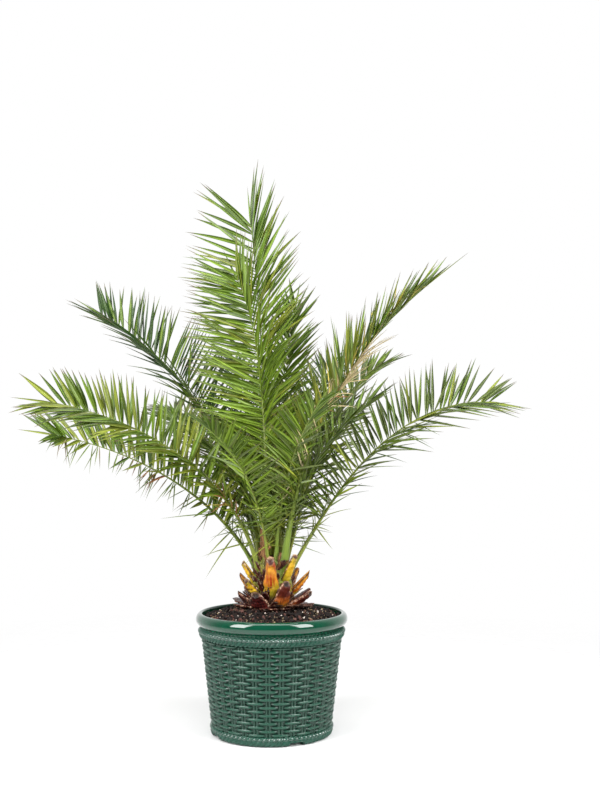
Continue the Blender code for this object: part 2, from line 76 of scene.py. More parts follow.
# The foot's edge from the top down: distance off its radius and height, in mm
FOOT_EDGE = ((0.6, 11.5), (0.0, 10.5), (-0.2, 6), (-0.4, 2.5), (-1.1, 0.8), (-2.5, 0.0))
FOOT_RING_INNER = 104.0 * MM
FOOT_COLUMNS = 720
FLOOR_UNDERSIDE = 5.0 * MM
FLOOR_TOP = 9.0 * MM
CENTRE_PAD_RADIUS = 36.0 * MM
NOTCH_COUNT = 4
NOTCH_FIRST_AZIMUTH = 294.0
NOTCH_WIDTH = 30.0 * MM
NOTCH_HEIGHT = 7.5 * MM

# Rope rings, with sizes in mm. Each broad one has a thin glossy one along its upper part.
Rope = namedtuple("Rope", "name height half_height bulge off_wall strands twist roughness specular")
ROPES = (
    Rope("pot_rope_top", 200.4, 9.6, 5.0, 0.2, 94, 4, 0.32, 0.35),
    Rope("pot_rope_top_edge", 203.6, 3.6, 3.8, 2.6, 94, 1, 0.1, 1.0),
    Rope("pot_rope_foot", 10.6, 9.0, 3.0, 0.2, 75, 4, 0.32, 0.35),
    Rope("pot_rope_foot_edge", 14.6, 3.4, 3.2, 0.8, 75, 1, 0.1, 1.0),
)
# Share of a rope's bulge that is lost between its strands
ROPE_HOLLOW = 0.8
ROPE_SIDES = 24
COLUMNS_PER_STRAND = 14
ROUGHNESS_RANGE = 0.08
ROPE_SHADES = ((0.005, 0.036, 0.022), (0.009, 0.055, 0.035))
FOOT_SHADES = ((0.006, 0.055, 0.032), (0.012, 0.085, 0.052))

# Weave: upright stakes of two rods each, and strands that pass over every other stake
STAKES = 32
STAKE_AZIMUTH = 278.0
# Distances from a stake's middle at which the wall has points, in mm
STAKE_STEPS = (0.0, 0.9, 1.9, 3.0, 4.6, 5.4, 7.2, 10.2)
STRAND_PITCH = 7.6 * MM
# Places in a strand's pitch at which the wall has points
STRAND_STEPS = (-0.5, -0.42, -0.34, -0.2, 0.0, 0.2, 0.34, 0.42)
WEAVE_FOOT = 18.3 * MM
WEAVE_TOP = 190.4 * MM
WEAVE_GROUND = -3.0 * MM
ROD_SPACING = 5.9 * MM
ROD_HALF_WIDTH = 2.3 * MM
ROD_CREST = -0.2 * MM
ROD_DEPTH = 1.9 * MM
STRAND_HALF_HEIGHT = 2.95 * MM
# Share of its height that a strand keeps where it dives under a stake
STRAND_PINCH = 0.42
# Where a strand starts and ends its dive, as shares of the way to the next stake
STRAND_DIVE = (0.54, 0.82)
STRAND_SWING = 1.5 * MM
STRAND_THICKNESS = 3.0 * MM

# Soil
SOIL_EDGE = 227.0 * MM
SOIL_CROWN = 246.0 * MM
SOIL_CROWN_RADIUS = 50.0 * MM
SOIL_FOOT = 205.0 * MM
SOIL_COLUMNS = 240
SOIL_RINGS = 84
SOIL_LAST_RADIUS = 8.0 * MM
SOIL_LUMP = 3.4 * MM
SOIL_LUMP_LIMITS = (-3.5 * MM, 2.5 * MM)
SOIL_SINK = 1.2 * MM
EDGE_MARGIN = 4.0 * MM
GAP = 0.35 * MM
CRUMBS = (
    # name, count, smallest and largest half size in mm, flatness, low and high colour
    ("crumbs_dark", 1600, 1.2, 5.0, 0.7, (0.001, 0.0006, 0.0005), (0.012, 0.006, 0.004)),
    ("crumbs_red", 620, 1.0, 4.0, 0.7, (0.02, 0.007, 0.006), (0.12, 0.05, 0.038)),
    ("crumbs_tan", 520, 0.8, 2.8, 0.6, (0.07, 0.05, 0.024), (0.3, 0.22, 0.13)),
    ("crumbs_pale", 170, 0.8, 2.6, 0.8, (0.36, 0.3, 0.25), (0.75, 0.66, 0.6)),
)

# Trunk
TRUNK_FOOT = SOIL_CROWN + GAP
TRUNK_TOP = 352.0 * MM
TRUNK_FOOT_RADIUS = 46.0 * MM
TRUNK_NECK_RADIUS = 27.0 * MM
TRUNK_FLARE = 1.5
TRUNK_CAP = 18.0 * MM
TRUNK_LEAN = 0.03
TRUNK_COLUMNS = 160
TRUNK_ROWS = 70
SCAR_SPACING = 11.0 * MM
SCAR_DEPTH = 1.6 * MM
BARK_FIBRES = 40
BARK_FIBRE_HEIGHT = 0.35 * MM
BARK_LUMP = 0.9 * MM
BARK_LUMP_LIMITS = (-1.2 * MM, 1.0 * MM)
BARK_SINK = 0.6 * MM

# Cut leaf bases, as in the model: angles in degrees, sizes in mm, and lean away from upright
Stub = namedtuple("Stub", "azimuth foot lean length width tone", defaults=("brown",))
STUBS = (
    Stub(188, 298, 30, 52, 15, "yellow"),
    Stub(313, 300, 27, 66, 19, "yellow"),
    Stub(75, 296, 30, 58, 22, "yellow"),
    Stub(135, 300, 30, 56, 20, "yellow"),
    Stub(267, 278, 20, 82, 34, "orange"),
    Stub(217, 280, 43, 42, 19, "yellow"),
    Stub(350, 278, 40, 60, 17, "orange"),
    Stub(42, 276, 34, 56, 26, "orange"),
    Stub(104, 274, 38, 58, 28, "orange"),
    Stub(160, 276, 40, 50, 24, "orange"),
    Stub(193, 260, 52, 38, 20),
    Stub(241, 254, 38, 40, 38),
    Stub(293, 258, 30, 58, 30),
    Stub(324, 254, 56, 62, 28),
    Stub(18, 256, 54, 48, 28),
    Stub(72, 255, 50, 46, 32),
    Stub(130, 256, 55, 50, 30),
)
HUSKS = (
    Stub(203, 252, 78, 42, 26),
    Stub(262, 251, 80, 34, 30),
    Stub(304, 251, 80, 30, 26),
    Stub(346, 252, 79, 46, 22),
    Stub(46, 251, 80, 38, 28),
    Stub(100, 251, 80, 38, 28),
    Stub(160, 252, 78, 40, 26),
)
STUB_THICKNESS = 11.0 * MM
HUSK_THICKNESS = 5.5 * MM
STUB_SINK = 4.0 * MM
STUB_OUTWARD_BEND = 8.0
STUB_RINGS = 26
STUB_SIDES = 28
# Share of a base's length, with the share of its width and of its thickness there
STUB_SHARES = (-0.14, -0.06, 0.04, 0.2, 0.6, 1.0)
STUB_WIDTHS = {
    "yellow": (0.3, 0.75, 1.05, 1.16, 0.92, 0.66),
    "orange": (0.16, 0.5, 0.82, 0.94, 0.72, 0.5),
    "brown": (0.3, 0.8, 1.04, 1.12, 0.92, 0.45),
}
STUB_DEPTHS = (0.3, 0.6, 0.95, 1.15, 1.0, 0.8)
# How far the outer side of a cut end falls short, as a share of the thickness, and where that starts
SLANT = {"yellow": 0.4, "orange": 1.3, "brown": 0.7}
SLANT_START = 0.35
# Where a base begins to be jagged, and by how much at its end, in mm
JAG_START = 0.8
JAG = 5.0
# The cut face, from its rim inwards: scale, and depth as a share of the thickness
CUT_RINGS = ((0.86, 0.02), (0.72, 0.16), (0.3, 0.34))
# Colours of the cut leaf bases, from the lower edge to the cut
YELLOW_BASE = (
    (0.0, (0.3, 0.27, 0.02)),
    (0.3, (0.5, 0.33, 0.014)),
    (0.7, (0.58, 0.33, 0.01)),
    (0.95, (0.3, 0.22, 0.02)),
)
ORANGE_BASE = (
    (0.0, (0.3, 0.27, 0.02)),
    (0.2, (0.42, 0.3, 0.018)),
    (0.42, (0.5, 0.16, 0.01)),
    (0.8, (0.52, 0.24, 0.012)),
    (1.0, (0.26, 0.07, 0.012)),
)
# Dark bases with an orange glow low down
GLOWING = ("leaf_base_13", "leaf_base_14")
# Scraps of old sheaths: count, heights in mm, lean at the top and at the foot, lengths, widths, thickness
FLAKES = (
    ("trunk_flakes", 120, (250, 322), (16, 60), (14, 32), (9, 22), 3.0 * MM),
    ("trunk_papers", 26, (262, 345), (16, 60), (14, 36), (6, 14), 1.6 * MM),
    ("foot_flakes", 18, (248, 253), (80, 90), (34, 56), (22, 36), 3.4 * MM),
)
FLAKE_RINGS = 9
FLAKE_SIDES = 10
# Dry papery sheaths between the stalks
PAPERS = (
    Stub(231, 338, 6, 70, 26),
    Stub(300, 326, 4, 34, 12),
    Stub(20, 322, 6, 36, 16),
    Stub(80, 326, 4, 46, 18),
    Stub(150, 322, 5, 42, 16),
)
PAPER_THICKNESS = 2.4 * MM
PAPER_RINGS = 14
FIBRES = (
    # name, count, longest and widest in mm, low and high colour
    ("fibres_dark", 420, 34, 0.5, (0.012, 0.006, 0.004), (0.06, 0.03, 0.016)),
    ("fibres_tan", 240, 30, 0.4, (0.12, 0.07, 0.03), (0.4, 0.27, 0.14)),
)
# Heights in mm, leans and usual turn in degrees, and usual bend as a share of the length
FIBRE_FEET = (252, 344)
FIBRE_LEANS = (4, 60)
FIBRE_TURN = 38
FIBRE_BEND = 0.25
FIBRE_RINGS = 6
FIBRE_SECTION = np.array([[1.0, 0.0], [-0.5, 0.87], [-0.5, -0.87]])

# Ribs and stalks
RIB_SAMPLES = 200
RIB_BASE_SHARE = 0.0108
RIB_TIP_HALF_WIDTH = 0.9 * MM
RIB_TAPER = 2.2
RIB_SINK = 5.0 * MM
ROLL_DONE = 0.45
RIB_RINGS = 56
RIB_SIDES = 16
SHEATH_RINGS = 8
SHEATH_LENGTH = 36.0 * MM
SHEATH_SINK = 1.5 * MM
SHEATH_GIRTH = 0.75
SHEATH_THINNING = 0.72
# Share of the stalk's colours that the sheath takes up
SHEATH_SHARE = 0.06
# How much thicker than the rule a stalk's foot is, over what share of it, and on some fronds besides
STOUTNESS = 0.42
STOUT_SPAN = 0.3
STOUT_STALKS = {"left": 0.4, "up_right": 0.35}
# The same for its lowest part, just above the trunk
BASE_GIRTH = 0.35
BASE_SPAN = 0.07
# A stalk's section, as shares of its half width: height above, depth below, and its channel
STALK_CROWN = 0.5
STALK_KEEL = 0.82
STALK_CHANNEL = 0.22
# Stalks painted darker along the middle of their length, as painted shade
SHADED_RIBS = ("top", "up_left")
# Painted shade on those stalks: shares of the stalk's length, and how much darker it is there
RIB_SHADE_SPAN = ((0.1, 0.25, 0.7, 0.9), (0.0, 1.0, 1.0, 0.0))
GREEN_STALKS = ("up_right", "front_right", "right_up", "left_low")
SPINE_FIRST = 0.09
SPINE_SPACING = 15.0 * MM
SPINE_SIDES = 4
SPINE_SPREADS = (40, 65)
SPINE_LIFTS = (0, 50)
# Length and half thickness of the first spine in mm, and what the last one has besides
SPINE_LENGTH = (12, 34)
SPINE_HALF = (0.8, 0.5)
# Places along a spine and the share of its thickness there
SPINE_RINGS = ((0.0, 1.0), (0.35, 0.8), (0.75, 0.42))

# Foot, length and leaf are in mm, and angles in degrees, as in the model. Mix names the leaf tones.
Frond = namedtuple(
    "Frond",
    "name azimuth foot rise_start rise_end bend length leaf mix "
    "roll skew sway front_share foot_azimuth vee taper",
    defaults=(0, 0, 0, 1.0, None, 0, 0.2),
)
FRONDS = (
    Frond("left_low", 172, 305, 74, 10, 0.6, 542, 104, "yellow", 62, 0, 4, 0.48, 167, -14),
    Frond("right", -4, 308, 60, -6, 2.2, 586, 122, "grey", 45, 9, 12),
    Frond("left", 194, 308, 86, 9, 0.68, 572, 112, "yellow", 58, 9, 0, 1.0, 199),
    Frond("back_low", 86, 304, 66, 10, 1.0, 545, 116, "grey", 10, 0, 12),
    Frond("back_left_low", 127, 306, 68, 12, 1.1, 560, 116, "grey", 20, 0, -8),
    Frond("back_right_low", 60, 306, 70, 18, 1.1, 510, 116, "grey", 20, 0, 8, 1.0, 48),
    # up_left's deep mix is partly painted shade, where it lies in the crown's shade, and partly its undersides'
    # colour.
    Frond("up_left", 149, 326, 82, 26, 0.86, 708, 140, "deep", 27, 4, 1, 0.9, None, 18),
    Frond("up_right", -38, 324, 82, 36, 1.12, 646, 146, "yellow", 27, 6, 11, 1.0, None, 12, 0.5),
    Frond("mid_right", 20, 326, 73, 27, 3.0, 482, 106, "grey", 15, 8, 8),
    Frond("back_left_mid", 102, 328, 78, 34, 1.0, 545, 108, "deep", 8, 0, 8, 1.0, 98),
    Frond("back_right_mid", 66, 328, 78, 36, 1.1, 520, 108, "deep", 10, 0, -6, 1.0, 62),
    Frond("front_left", 236, 328, 84, 30, 1.0, 340, 92, "green", 10, 0, -8, 1.0, 247),
    Frond("front_right", 296, 342, 86, 40, 1.0, 350, 96, "green", 0, 0, 6, 1.0, 285),
    Frond("left_inner", 168, 339, 86, 23, 1.0, 372, 100, "green", 20, 0, -6, 1.0, 220),
    Frond("right_up", 354, 342, 84, 38, 1.0, 372, 100, "green", 20, 0, 4, 1.0, 351),
    Frond("back_right_up", 84, 348, 82, 64, 1.9, 535, 110, "fresh", 0, -4, -16, 1.0, 30),
    Frond("top", 115, 348, 86, 70, 1.4, 722, 142, "fresh", 56, -9, -9, 1.26, None, 0, -0.06),
    Frond("top_left", 133, 348, 88, 48, 3.0, 605, 146, "fresh", 72, -3, -14, 1.16, 200, 0, 0.1),
)

# Leaflets. The row nearer the back is 1, and the other -1
ROWS = (-1, 1)
Leaf = namedtuple("Leaf", "root along across face length width fold droop curl")
LEAF_ZONE_START = 0.22
LONGEST_ZONE = 0.4
LEAF_SPACING = 5.9 * MM
LEAF_WIDTH = 7.0 * MM
LEAF_GROUP = 3
GROUP_CLOSENESS = 0.42
# Angle to the rib and angle out of the blade where the leaflets begin, and what they lose to the tip
SPREAD_START = 68
SPREAD_LOSS = 16
SPREAD_TIP_LOSS = 26
LIFT_START = 30
LIFT_LOSS = 12
# How light the leaflets are where they begin, and what they lose to the tip
LIGHT_START = 0.42
LIGHT_LOSS = 0.85
# Fronds with broader leaflets than the others, and fronds with darker ones. On up_left the darker leaflets are
# partly painted shade.
LEAF_GIRTH = {"left": 1.22, "left_low": 1.2, "top": 1.1, "back_right_up": 1.12}
LEAF_SHADE = {"right": 0.22, "left_low": 0.18, "up_left": 0.2}
# Fronds whose leaflets lie closer to the rib, with the angle in degrees
CLOSER = {"up_right": 12, "mid_right": 14, "back_right_up": 10}
# The row of the top frond that opens to the right, and by how much below its tip
OPEN_ROW = ("top", 1)
OPEN_ANGLE = 36
OPEN_ZONE = 0.3
# From this share of the blade to its tip the leaflets become fewer and wider
TIP_ZONE = 0.55
TIP_GAPS = 0.34
TIP_WIDENING = 0.48
# The leaflet at the frond's end: its place, and its length and width as shares of the frond's others
END_LEAF_PLACE = 0.985
END_LEAF_SHARE = 0.8
# Share of a row's leaflets that is missing, and the zone up to which it is
BARE = {("left_low", -1): (0.8, 0.9), ("right", -1): (0.45, 0.66)}
# A leaflet's widest place, its rings of points, and those of its dry tip
WIDEST = 0.3
TIP_START = 0.86
BLADE_SHARES = np.array([0.0, 0.05, 0.12, 0.21, 0.32, 0.45, 0.59, 0.73, TIP_START])
TIP_SHARES = np.array([TIP_START, 0.93])
# A leaflet's section: folded up on both sides of its middle, with a keel below as the last point
SECTION_SIDE = np.array([-1.0, -0.55, 0.0, 0.55, 1.0, 0.0])
SECTION_UP = np.array([1.0, 0.42, 0.0, 0.42, 1.0, 0.0])
SECTION_KEEL = np.array([0, 0, 0, 0, 0, 1.0])
GREEN_TIPS = 0.2
LEAF_TONES = {
    # name: colour, the colour it drifts towards, roughness, material slot
    "fresh": ((0.065, 0.122, 0.006), (0.185, 0.28, 0.02), 0.4, "frond"),
    "mid": ((0.043, 0.082, 0.005), (0.142, 0.208, 0.018), 0.4, "frond"),
    "deep": ((0.014, 0.04, 0.005), (0.055, 0.105, 0.012), 0.38, "frond_deep"),
    "yellow": ((0.1, 0.128, 0.007), (0.225, 0.265, 0.026), 0.42, "frond_yellow"),
    "grey": ((0.045, 0.07, 0.01), (0.14, 0.182, 0.04), 0.42, "frond"),
    "gold": ((0.36, 0.27, 0.03), (0.48, 0.4, 0.07), 0.45, "frond_yellow"),
    "straw": ((0.48, 0.37, 0.17), (0.66, 0.56, 0.33), 0.6, "frond_yellow"),
    "brown": ((0.2, 0.075, 0.028), (0.32, 0.15, 0.06), 0.6, "frond_yellow"),
    "tip": ((0.1, 0.075, 0.035), (0.18, 0.14, 0.07), 0.55, "frond_yellow"),
}
# Shares of each leaf tone on a frond
MIXES = {
    "fresh": {"fresh": 0.55, "mid": 0.3, "yellow": 0.15},
    # The green mix of the inner fronds is lighter: painted light in the middle of the crown.
    "green": {"mid": 0.45, "fresh": 0.4, "grey": 0.15},
    "deep": {"deep": 0.65, "mid": 0.35},
    "yellow": {"yellow": 0.45, "mid": 0.35, "fresh": 0.2},
    "grey": {"grey": 0.5, "mid": 0.35, "yellow": 0.15},
}
# A dry leaflet's width as a share of a fresh one's, its droop, and how much its curl varies
DRY_WIDTH = 0.6
DRY_DROOP = (0.1, 0.4)
DRY_CURL = 0.12
# Dry leaflets: frond, row, zone from and to, share of the leaflets there, tone
DRY = (
    ("up_right", -1, 0.12, 0.55, 0.34, "straw"),
    ("up_right", 1, 0.02, 0.3, 0.3, "straw"),
    ("up_right", -1, 0.3, 0.95, 0.3, "gold"),
    ("up_right", 1, 0.4, 0.9, 0.2, "gold"),
    ("left_low", -1, 0.25, 0.6, 0.22, "brown"),
    ("left", -1, 0.0, 0.12, 0.5, "brown"),
    ("front_right", 1, 0.1, 0.3, 0.25, "straw"),
    ("back_low", -1, 0.05, 0.3, 0.15, "brown"),
)
# Stiff leaflets at the foot of each blade: number in a row, span of the rib, angles, and sizes in mm
STRAYS = 10
STRAY_SPAN = (0.12, 0.33)
STRAY_SPREADS = (35, 105)
STRAY_LIFTS = (-35, 70)
STRAY_LENGTHS = (50, 118)
STRAY_WIDTHS = (2.4, 3.8)
STRAY_LIGHT = 0.25
STRAY_TONES = ("mid", "yellow", "grey")
LOOSE_FOLD = 0.6
LOOSE_DROOP = (0.0, 0.12)
LOOSE_CURL = 0.06
# Loose and dead leaflets: span of the rib, angles to the rib and out of the blade, and sizes in mm
Loose = namedtuple("Loose", "frond rows count span spreads lifts lengths width tones")
LOOSE = (
    Loose("up_right", ROWS, 36, (0.56, 0.72), (4, 26), (-95, 0), (60, 112), 4.2, ("straw",)),
    Loose("up_right", ROWS, 14, (0.5, 0.66), (40, 100), (-60, 60), (40, 90), 4.0, ("straw", "brown")),
    Loose("up_right", ROWS, 46, (0.66, 0.92), (12, 40), (0, 60), (60, 115), 5.4, ("yellow", "fresh", "mid")),
    Loose("right", (-1,), 14, (0.3, 0.72), (36, 76), (-10, 40), (70, 112), 3.2, ("deep", "mid")),
    Loose("left_low", (-1,), 50, (0.3, 0.99), (68, 118), (-25, 25), (30, 70), 3.2, ("mid", "grey", "tip")),
    Loose("left_low", (-1,), 5, (0.55, 0.7), (60, 100), (-25, 25), (30, 50), 4.0, ("brown",)),
    Loose("left", ROWS, 9, (0.26, 0.34), (20, 90), (-40, 60), (40, 80), 4.0, ("brown", "gold")),
)

# Stage
STAGE_FLOOR_RADIUS = 2.4
STAGE_FLOOR_SIDES = 96
STAGE_FLOOR_FADE = (0.3, 1.7)
STAGE_FLOOR_COLOR = (0.68, 0.68, 0.68, 1.0)
WHITE = (1.0, 1.0, 1.0, 1.0)
# Brightness of the surround from the camera's side, 0, to behind the plant, 1
SURROUND = ((0.0, 0.06), (0.32, 0.1), (0.5, 0.34), (0.7, 1.0), (1.0, 1.0))
SOFT_BOX_TARGET = (0, 0, 0.45)
SOFT_BOXES = (
    # name, degrees to the right of the front, elevation, distance, width and height, watts
    ("left_box", -51, 26, 2.1, (0.92, 1.8), 76),
    ("right_box", 51, 26, 2.1, (0.92, 1.8), 72),
    ("top_box", 0, 80, 2.4, (2.0, 1.6), 58),
    ("front_fill", 0, 14, 2.8, (2.0, 1.6), 34),
)
# Soft boxes that don't show in the gloss
UNSEEN_BOXES = ("front_fill",)

rng = np.random.default_rng(SEED)


def polar(azimuth, radius, height):
    angle = np.radians(azimuth)
    return np.stack(np.broadcast_arrays(radius * np.cos(angle), radius * np.sin(angle), height), axis=-1)


def all_round(columns):
    """Evenly spaced azimuths."""
    return np.arange(columns) * 360.0 / columns


def unit(vectors):
    return vectors / np.linalg.norm(vectors, axis=-1, keepdims=True)


def put(name, data):
    """A new object in the scene."""
    obj = bpy.data.objects.new(name, data)
    bpy.context.scene.collection.objects.link(obj)
    return obj


class Batch:
    """Points and faces of many shapes that end up as one piece, with named values at the points."""

    def __init__(self):
        self.points = []
        self.faces = []
        self.values = {}
        self.count = 0

    def add(self, points, faces, **values):
        points = np.asarray(points, float).reshape(-1, 3)
        for group in faces:
            self.faces.extend((np.asarray(group) + self.count).tolist())
        for name, value in values.items():
            column = np.broadcast_to(np.asarray(value, float), (len(points),))
            self.values.setdefault(name, []).append(column)
        self.points.append(points)
        self.count += len(points)

    def piece(self, name, material, slot, nodes, sharp=None):
        """Puts the shapes in the scene as a piece that stands for some of the model's nodes."""
        mesh = bpy.data.meshes.new(name)
        mesh.from_pydata(np.concatenate(self.points).tolist(), [], self.faces)
        for key, columns in self.values.items():
            attribute = mesh.attributes.new(key, "FLOAT", "POINT")
            attribute.data.foreach_set("value", np.concatenate(columns).astype(np.float32))
        mesh.shade_smooth()
        if sharp is not None:
            mesh.set_sharp_from_angle(angle=math.radians(sharp))
        mesh.validate()
        mesh.materials.append(material)
        obj = put(name, mesh)
        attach(obj, "root")
        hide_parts(*nodes)


def grid_faces(rows, columns, wrap_rows=False):
    """Quads of a grid of points, row by row. Columns close into a round."""
    row = np.arange(rows if wrap_rows else rows - 1)[:, None]
    column = np.arange(columns)[None, :]
    next_row = (row + 1) % rows
    next_column = (column + 1) % columns
    corners = (
        row * columns + column,
        row * columns + next_column,
        next_row * columns + next_column,
        next_row * columns + column,
    )
    return np.stack([np.broadcast_to(c, (row.size, column.size)) for c in corners], axis=-1).reshape(-1, 4)


def loft_faces(rings, sides, pointed=False):
    """Faces of rings of points with closed ends, or with a last single point."""
    groups = [grid_faces(rings, sides), [list(range(sides))[::-1]]]
    last = (rings - 1) * sides
    if pointed:
        around = np.arange(sides)
        tip = np.full(sides, rings * sides)
        groups.append(np.stack([last + around, last + (around + 1) % sides, tip], axis=-1))
    else:
        groups.append([list(range(last, last + sides))])
    return groups


def facing_out(faces, across, outward, along):
    """Faces turned over where the three directions are left-handed."""
    if np.dot(np.cross(across, outward), along) < 0:
        return [[list(face)[::-1] for face in group] for group in faces]
    return faces


class Graph:
    """Short ways to add nodes to a material or the world."""

    def __init__(self, owner):
        owner.use_nodes = True
        self.nodes = owner.node_tree.nodes
        self.links = owner.node_tree.links

    def add(self, kind, inputs=None, **settings):
        node = self.nodes.new(kind)
        for key, value in settings.items():
            setattr(node, key, value)
        for key, value in (inputs or {}).items():
            if isinstance(value, bpy.types.NodeSocket):
                self.links.new(value, node.inputs[key])
            else:
                node.inputs[key].default_value = value
        return node

    def noise(self, vector, scale, detail=3.0, roughness=0.55):
        inputs = {"Vector": vector, "Scale": scale, "Detail": detail, "Roughness": roughness}
        return self.add("ShaderNodeTexNoise", inputs).outputs["Fac"]

    def ramp(self, factor, stops):
        """Colours at places from 0 to 1."""
        node = self.add("ShaderNodeValToRGB", {"Fac": factor})
        elements = node.color_ramp.elements
        while len(elements) < len(stops):
            elements.new(0.5)
        for element, (place, color) in zip(elements, stops):
            element.position = place
            element.color = (*color, 1.0)
        return node.outputs["Color"]

    def mix(self, factor, first, second):
        node = self.add("ShaderNodeMix", data_type="RGBA")
        for key, value in (("Factor", factor), ("A", first), ("B", second)):
            socket = next(s for s in node.inputs if s.name == key and s.enabled)
            if isinstance(value, bpy.types.NodeSocket):
                self.links.new(value, socket)
            else:
                socket.default_value = (*value, 1.0)
        return next(s for s in node.outputs if s.enabled)

    def math(self, operation, first, second=0.0):
        return self.add("ShaderNodeMath", {0: first, 1: second}, operation=operation).outputs[0]

    def spread(self, value, low, high, to_low=0.0, to_high=1.0):
        """Maps a value's range onto another, clamped."""
        inputs = {"Value": value, "From Min": low, "From Max": high, "To Min": to_low, "To Max": to_high}
        return self.add("ShaderNodeMapRange", inputs).outputs["Result"]

    def place(self):
        return self.add("ShaderNodeTexCoord").outputs["Object"]

    def value(self, name):
        return self.add("ShaderNodeAttribute", attribute_name=name).outputs["Fac"]

    def blend(self, factor, first, second, output):
        """Two shaders mixed by a factor, as the last step before the output."""
        both = self.add("ShaderNodeMixShader", {0: factor, 1: first, 2: second})
        self.links.new(both.outputs[0], self.nodes[output].inputs["Surface"])


class Look(Graph):
    """One material with its shader."""

    def __init__(self, name, roughness, specular):
        self.material = bpy.data.materials.new(name)
        super().__init__(self.material)
        self.shader = self.nodes["Principled BSDF"]
        self.shader.inputs["Roughness"].default_value = roughness
        self.shader.inputs["Specular IOR Level"].default_value = specular

    def clouded(self, scale, low, high, detail=3.0):
        """Noise, and a shade between two by it."""
        cloud = self.noise(self.place(), scale, detail)
        return cloud, self.ramp(cloud, ((0.3, low), (0.7, high)))

    def lengthwise(self, narrowness):
        """Coordinates that run along one shape, for a grain that differs from shape to shape."""
        across = self.math("MULTIPLY", self.value("across"), narrowness)
        inputs = {"X": across, "Y": self.value("along"), "Z": self.value("seed")}
        return self.add("ShaderNodeCombineXYZ", inputs).outputs[0]

    def bump(self, height, strength, distance):
        node = self.add("ShaderNodeBump", {"Strength": strength, "Distance": distance, "Height": height})
        self.links.new(node.outputs["Normal"], self.shader.inputs["Normal"])

    def painted(self, color, roughness=None):
        """The material in its final colour, and with its final roughness where that varies."""
        self.links.new(color, self.shader.inputs["Base Color"])
        if roughness is not None:
            self.links.new(roughness, self.shader.inputs["Roughness"])
        return self.material


def pot_weave_material():
    """Satin green plastic, darker and duller down between the strands: painted shade in the gaps."""
    look = Look("pot_weave", 0.34, 0.45)
    # Painted shade: the colour darkens towards black where the surface lies deep between the strands and rods.
    stops = (
        (0.0, (0.001, 0.01, 0.006)),
        (0.4, (0.001, 0.019, 0.01)),
        (0.75, (0.003, 0.033, 0.019)),
        (1.0, (0.0065, 0.051, 0.029)),
    )
    shade = look.ramp(look.value("relief"), stops)
    grain = look.noise(look.place(), 260.0)
    worn = look.mix(look.spread(grain, 0.35, 0.75, 0.0, 0.2), shade, (0.015, 0.074, 0.045))
    return look.painted(worn, look.spread(grain, 0.3, 0.7, 0.27, 0.4))


def pot_plain_material(name, smoothest, roughest, specular, shades):
    """Green plastic of a rope ring, or of the foot."""
    look = Look(name, smoothest, specular)
    cloud, shade = look.clouded(120.0, *shades)
    return look.painted(shade, look.spread(cloud, 0.3, 0.7, smoothest, roughest))


def pot_gloss_material():
    """Glossy deep green plastic of the rolled rim."""
    look = Look("pot_gloss", 0.1, 0.2)
    look.shader.inputs["Coat Weight"].default_value = 0.8
    look.shader.inputs["Coat IOR"].default_value = 1.5
    look.shader.inputs["Coat Roughness"].default_value = 0.04
    shade = look.clouded(18.0, (0.001, 0.032, 0.015), (0.002, 0.042, 0.021))[1]
    scuff = look.noise(look.place(), 420.0)
    return look.painted(shade, look.spread(scuff, 0.4, 0.8, 0.08, 0.18))


def leaf_material(name, color, other, roughness):
    """A leaf tone that varies from leaflet to leaflet: one half darker as painted shade, a pale midrib line as
    a painted highlight along the fold, and a dusky tip.
    """
    look = Look(name, roughness, 0.3)
    drift = look.noise(look.place(), 30.0)
    own = look.math("ADD", look.value("own"), look.spread(drift, 0.3, 0.7, -0.25, 0.25))
    body = look.mix(look.spread(own, 0.0, 1.1), color, other)
    # Painted shade: the leaflet's half on one side of its fold is darkened.
    darker = look.spread(look.value("half"), 0.4, 0.6, 0.0, 0.5)
    with_painted_half_shade = look.mix(darker, body, tuple(c * 0.4 for c in color))
    # Painted highlight: a pale midrib line along the leaflet's fold.
    midrib = look.spread(look.value("side"), 0.04, 0.22, 0.55, 0.0)
    with_fold_highlight = look.mix(midrib, with_painted_half_shade, tuple(c * 1.3 + 0.05 for c in other))
    dusk = look.spread(look.value("along"), 0.6, 1.0, 0.0, 0.5)
    return look.painted(look.mix(dusk, with_fold_highlight, (0.05, 0.05, 0.02)))


def stalk_material():
    """Stalks: brown at the clasping foot, then olive or green by frond, and pale along the blade, with painted
    shade at their sides.
    """
    look = Look("frond_stalk", 0.42, 0.3)
    along = look.value("along")
    olive = (
        (0.0, (0.05, 0.018, 0.008)),
        (0.025, (0.28, 0.17, 0.015)),
        (0.07, (0.2, 0.19, 0.018)),
        (0.2, (0.19, 0.21, 0.026)),
        (0.45, (0.15, 0.18, 0.024)),
        (1.0, (0.18, 0.22, 0.045)),
    )
    green = (
        (0.0, (0.07, 0.03, 0.01)),
        (0.02, (0.2, 0.22, 0.02)),
        (0.06, (0.14, 0.215, 0.026)),
        (0.2, (0.13, 0.18, 0.024)),
        (0.45, (0.1, 0.13, 0.02)),
        (1.0, (0.18, 0.22, 0.045)),
    )
    body = look.mix(look.value("tint"), look.ramp(along, olive), look.ramp(along, green))
    drift = look.noise(look.place(), 45.0)
    shade = look.mix(look.spread(drift, 0.35, 0.75, 0.0, 0.3), body, (0.06, 0.08, 0.014))
    # Painted shade: the stalk darkens towards its sides, and along the middle of the shaded ribs.
    edge = look.spread(look.value("edge"), 0.8, 1.5, 0.0, 0.85)
    return look.painted(look.mix(edge, shade, (0.03, 0.052, 0.012)))


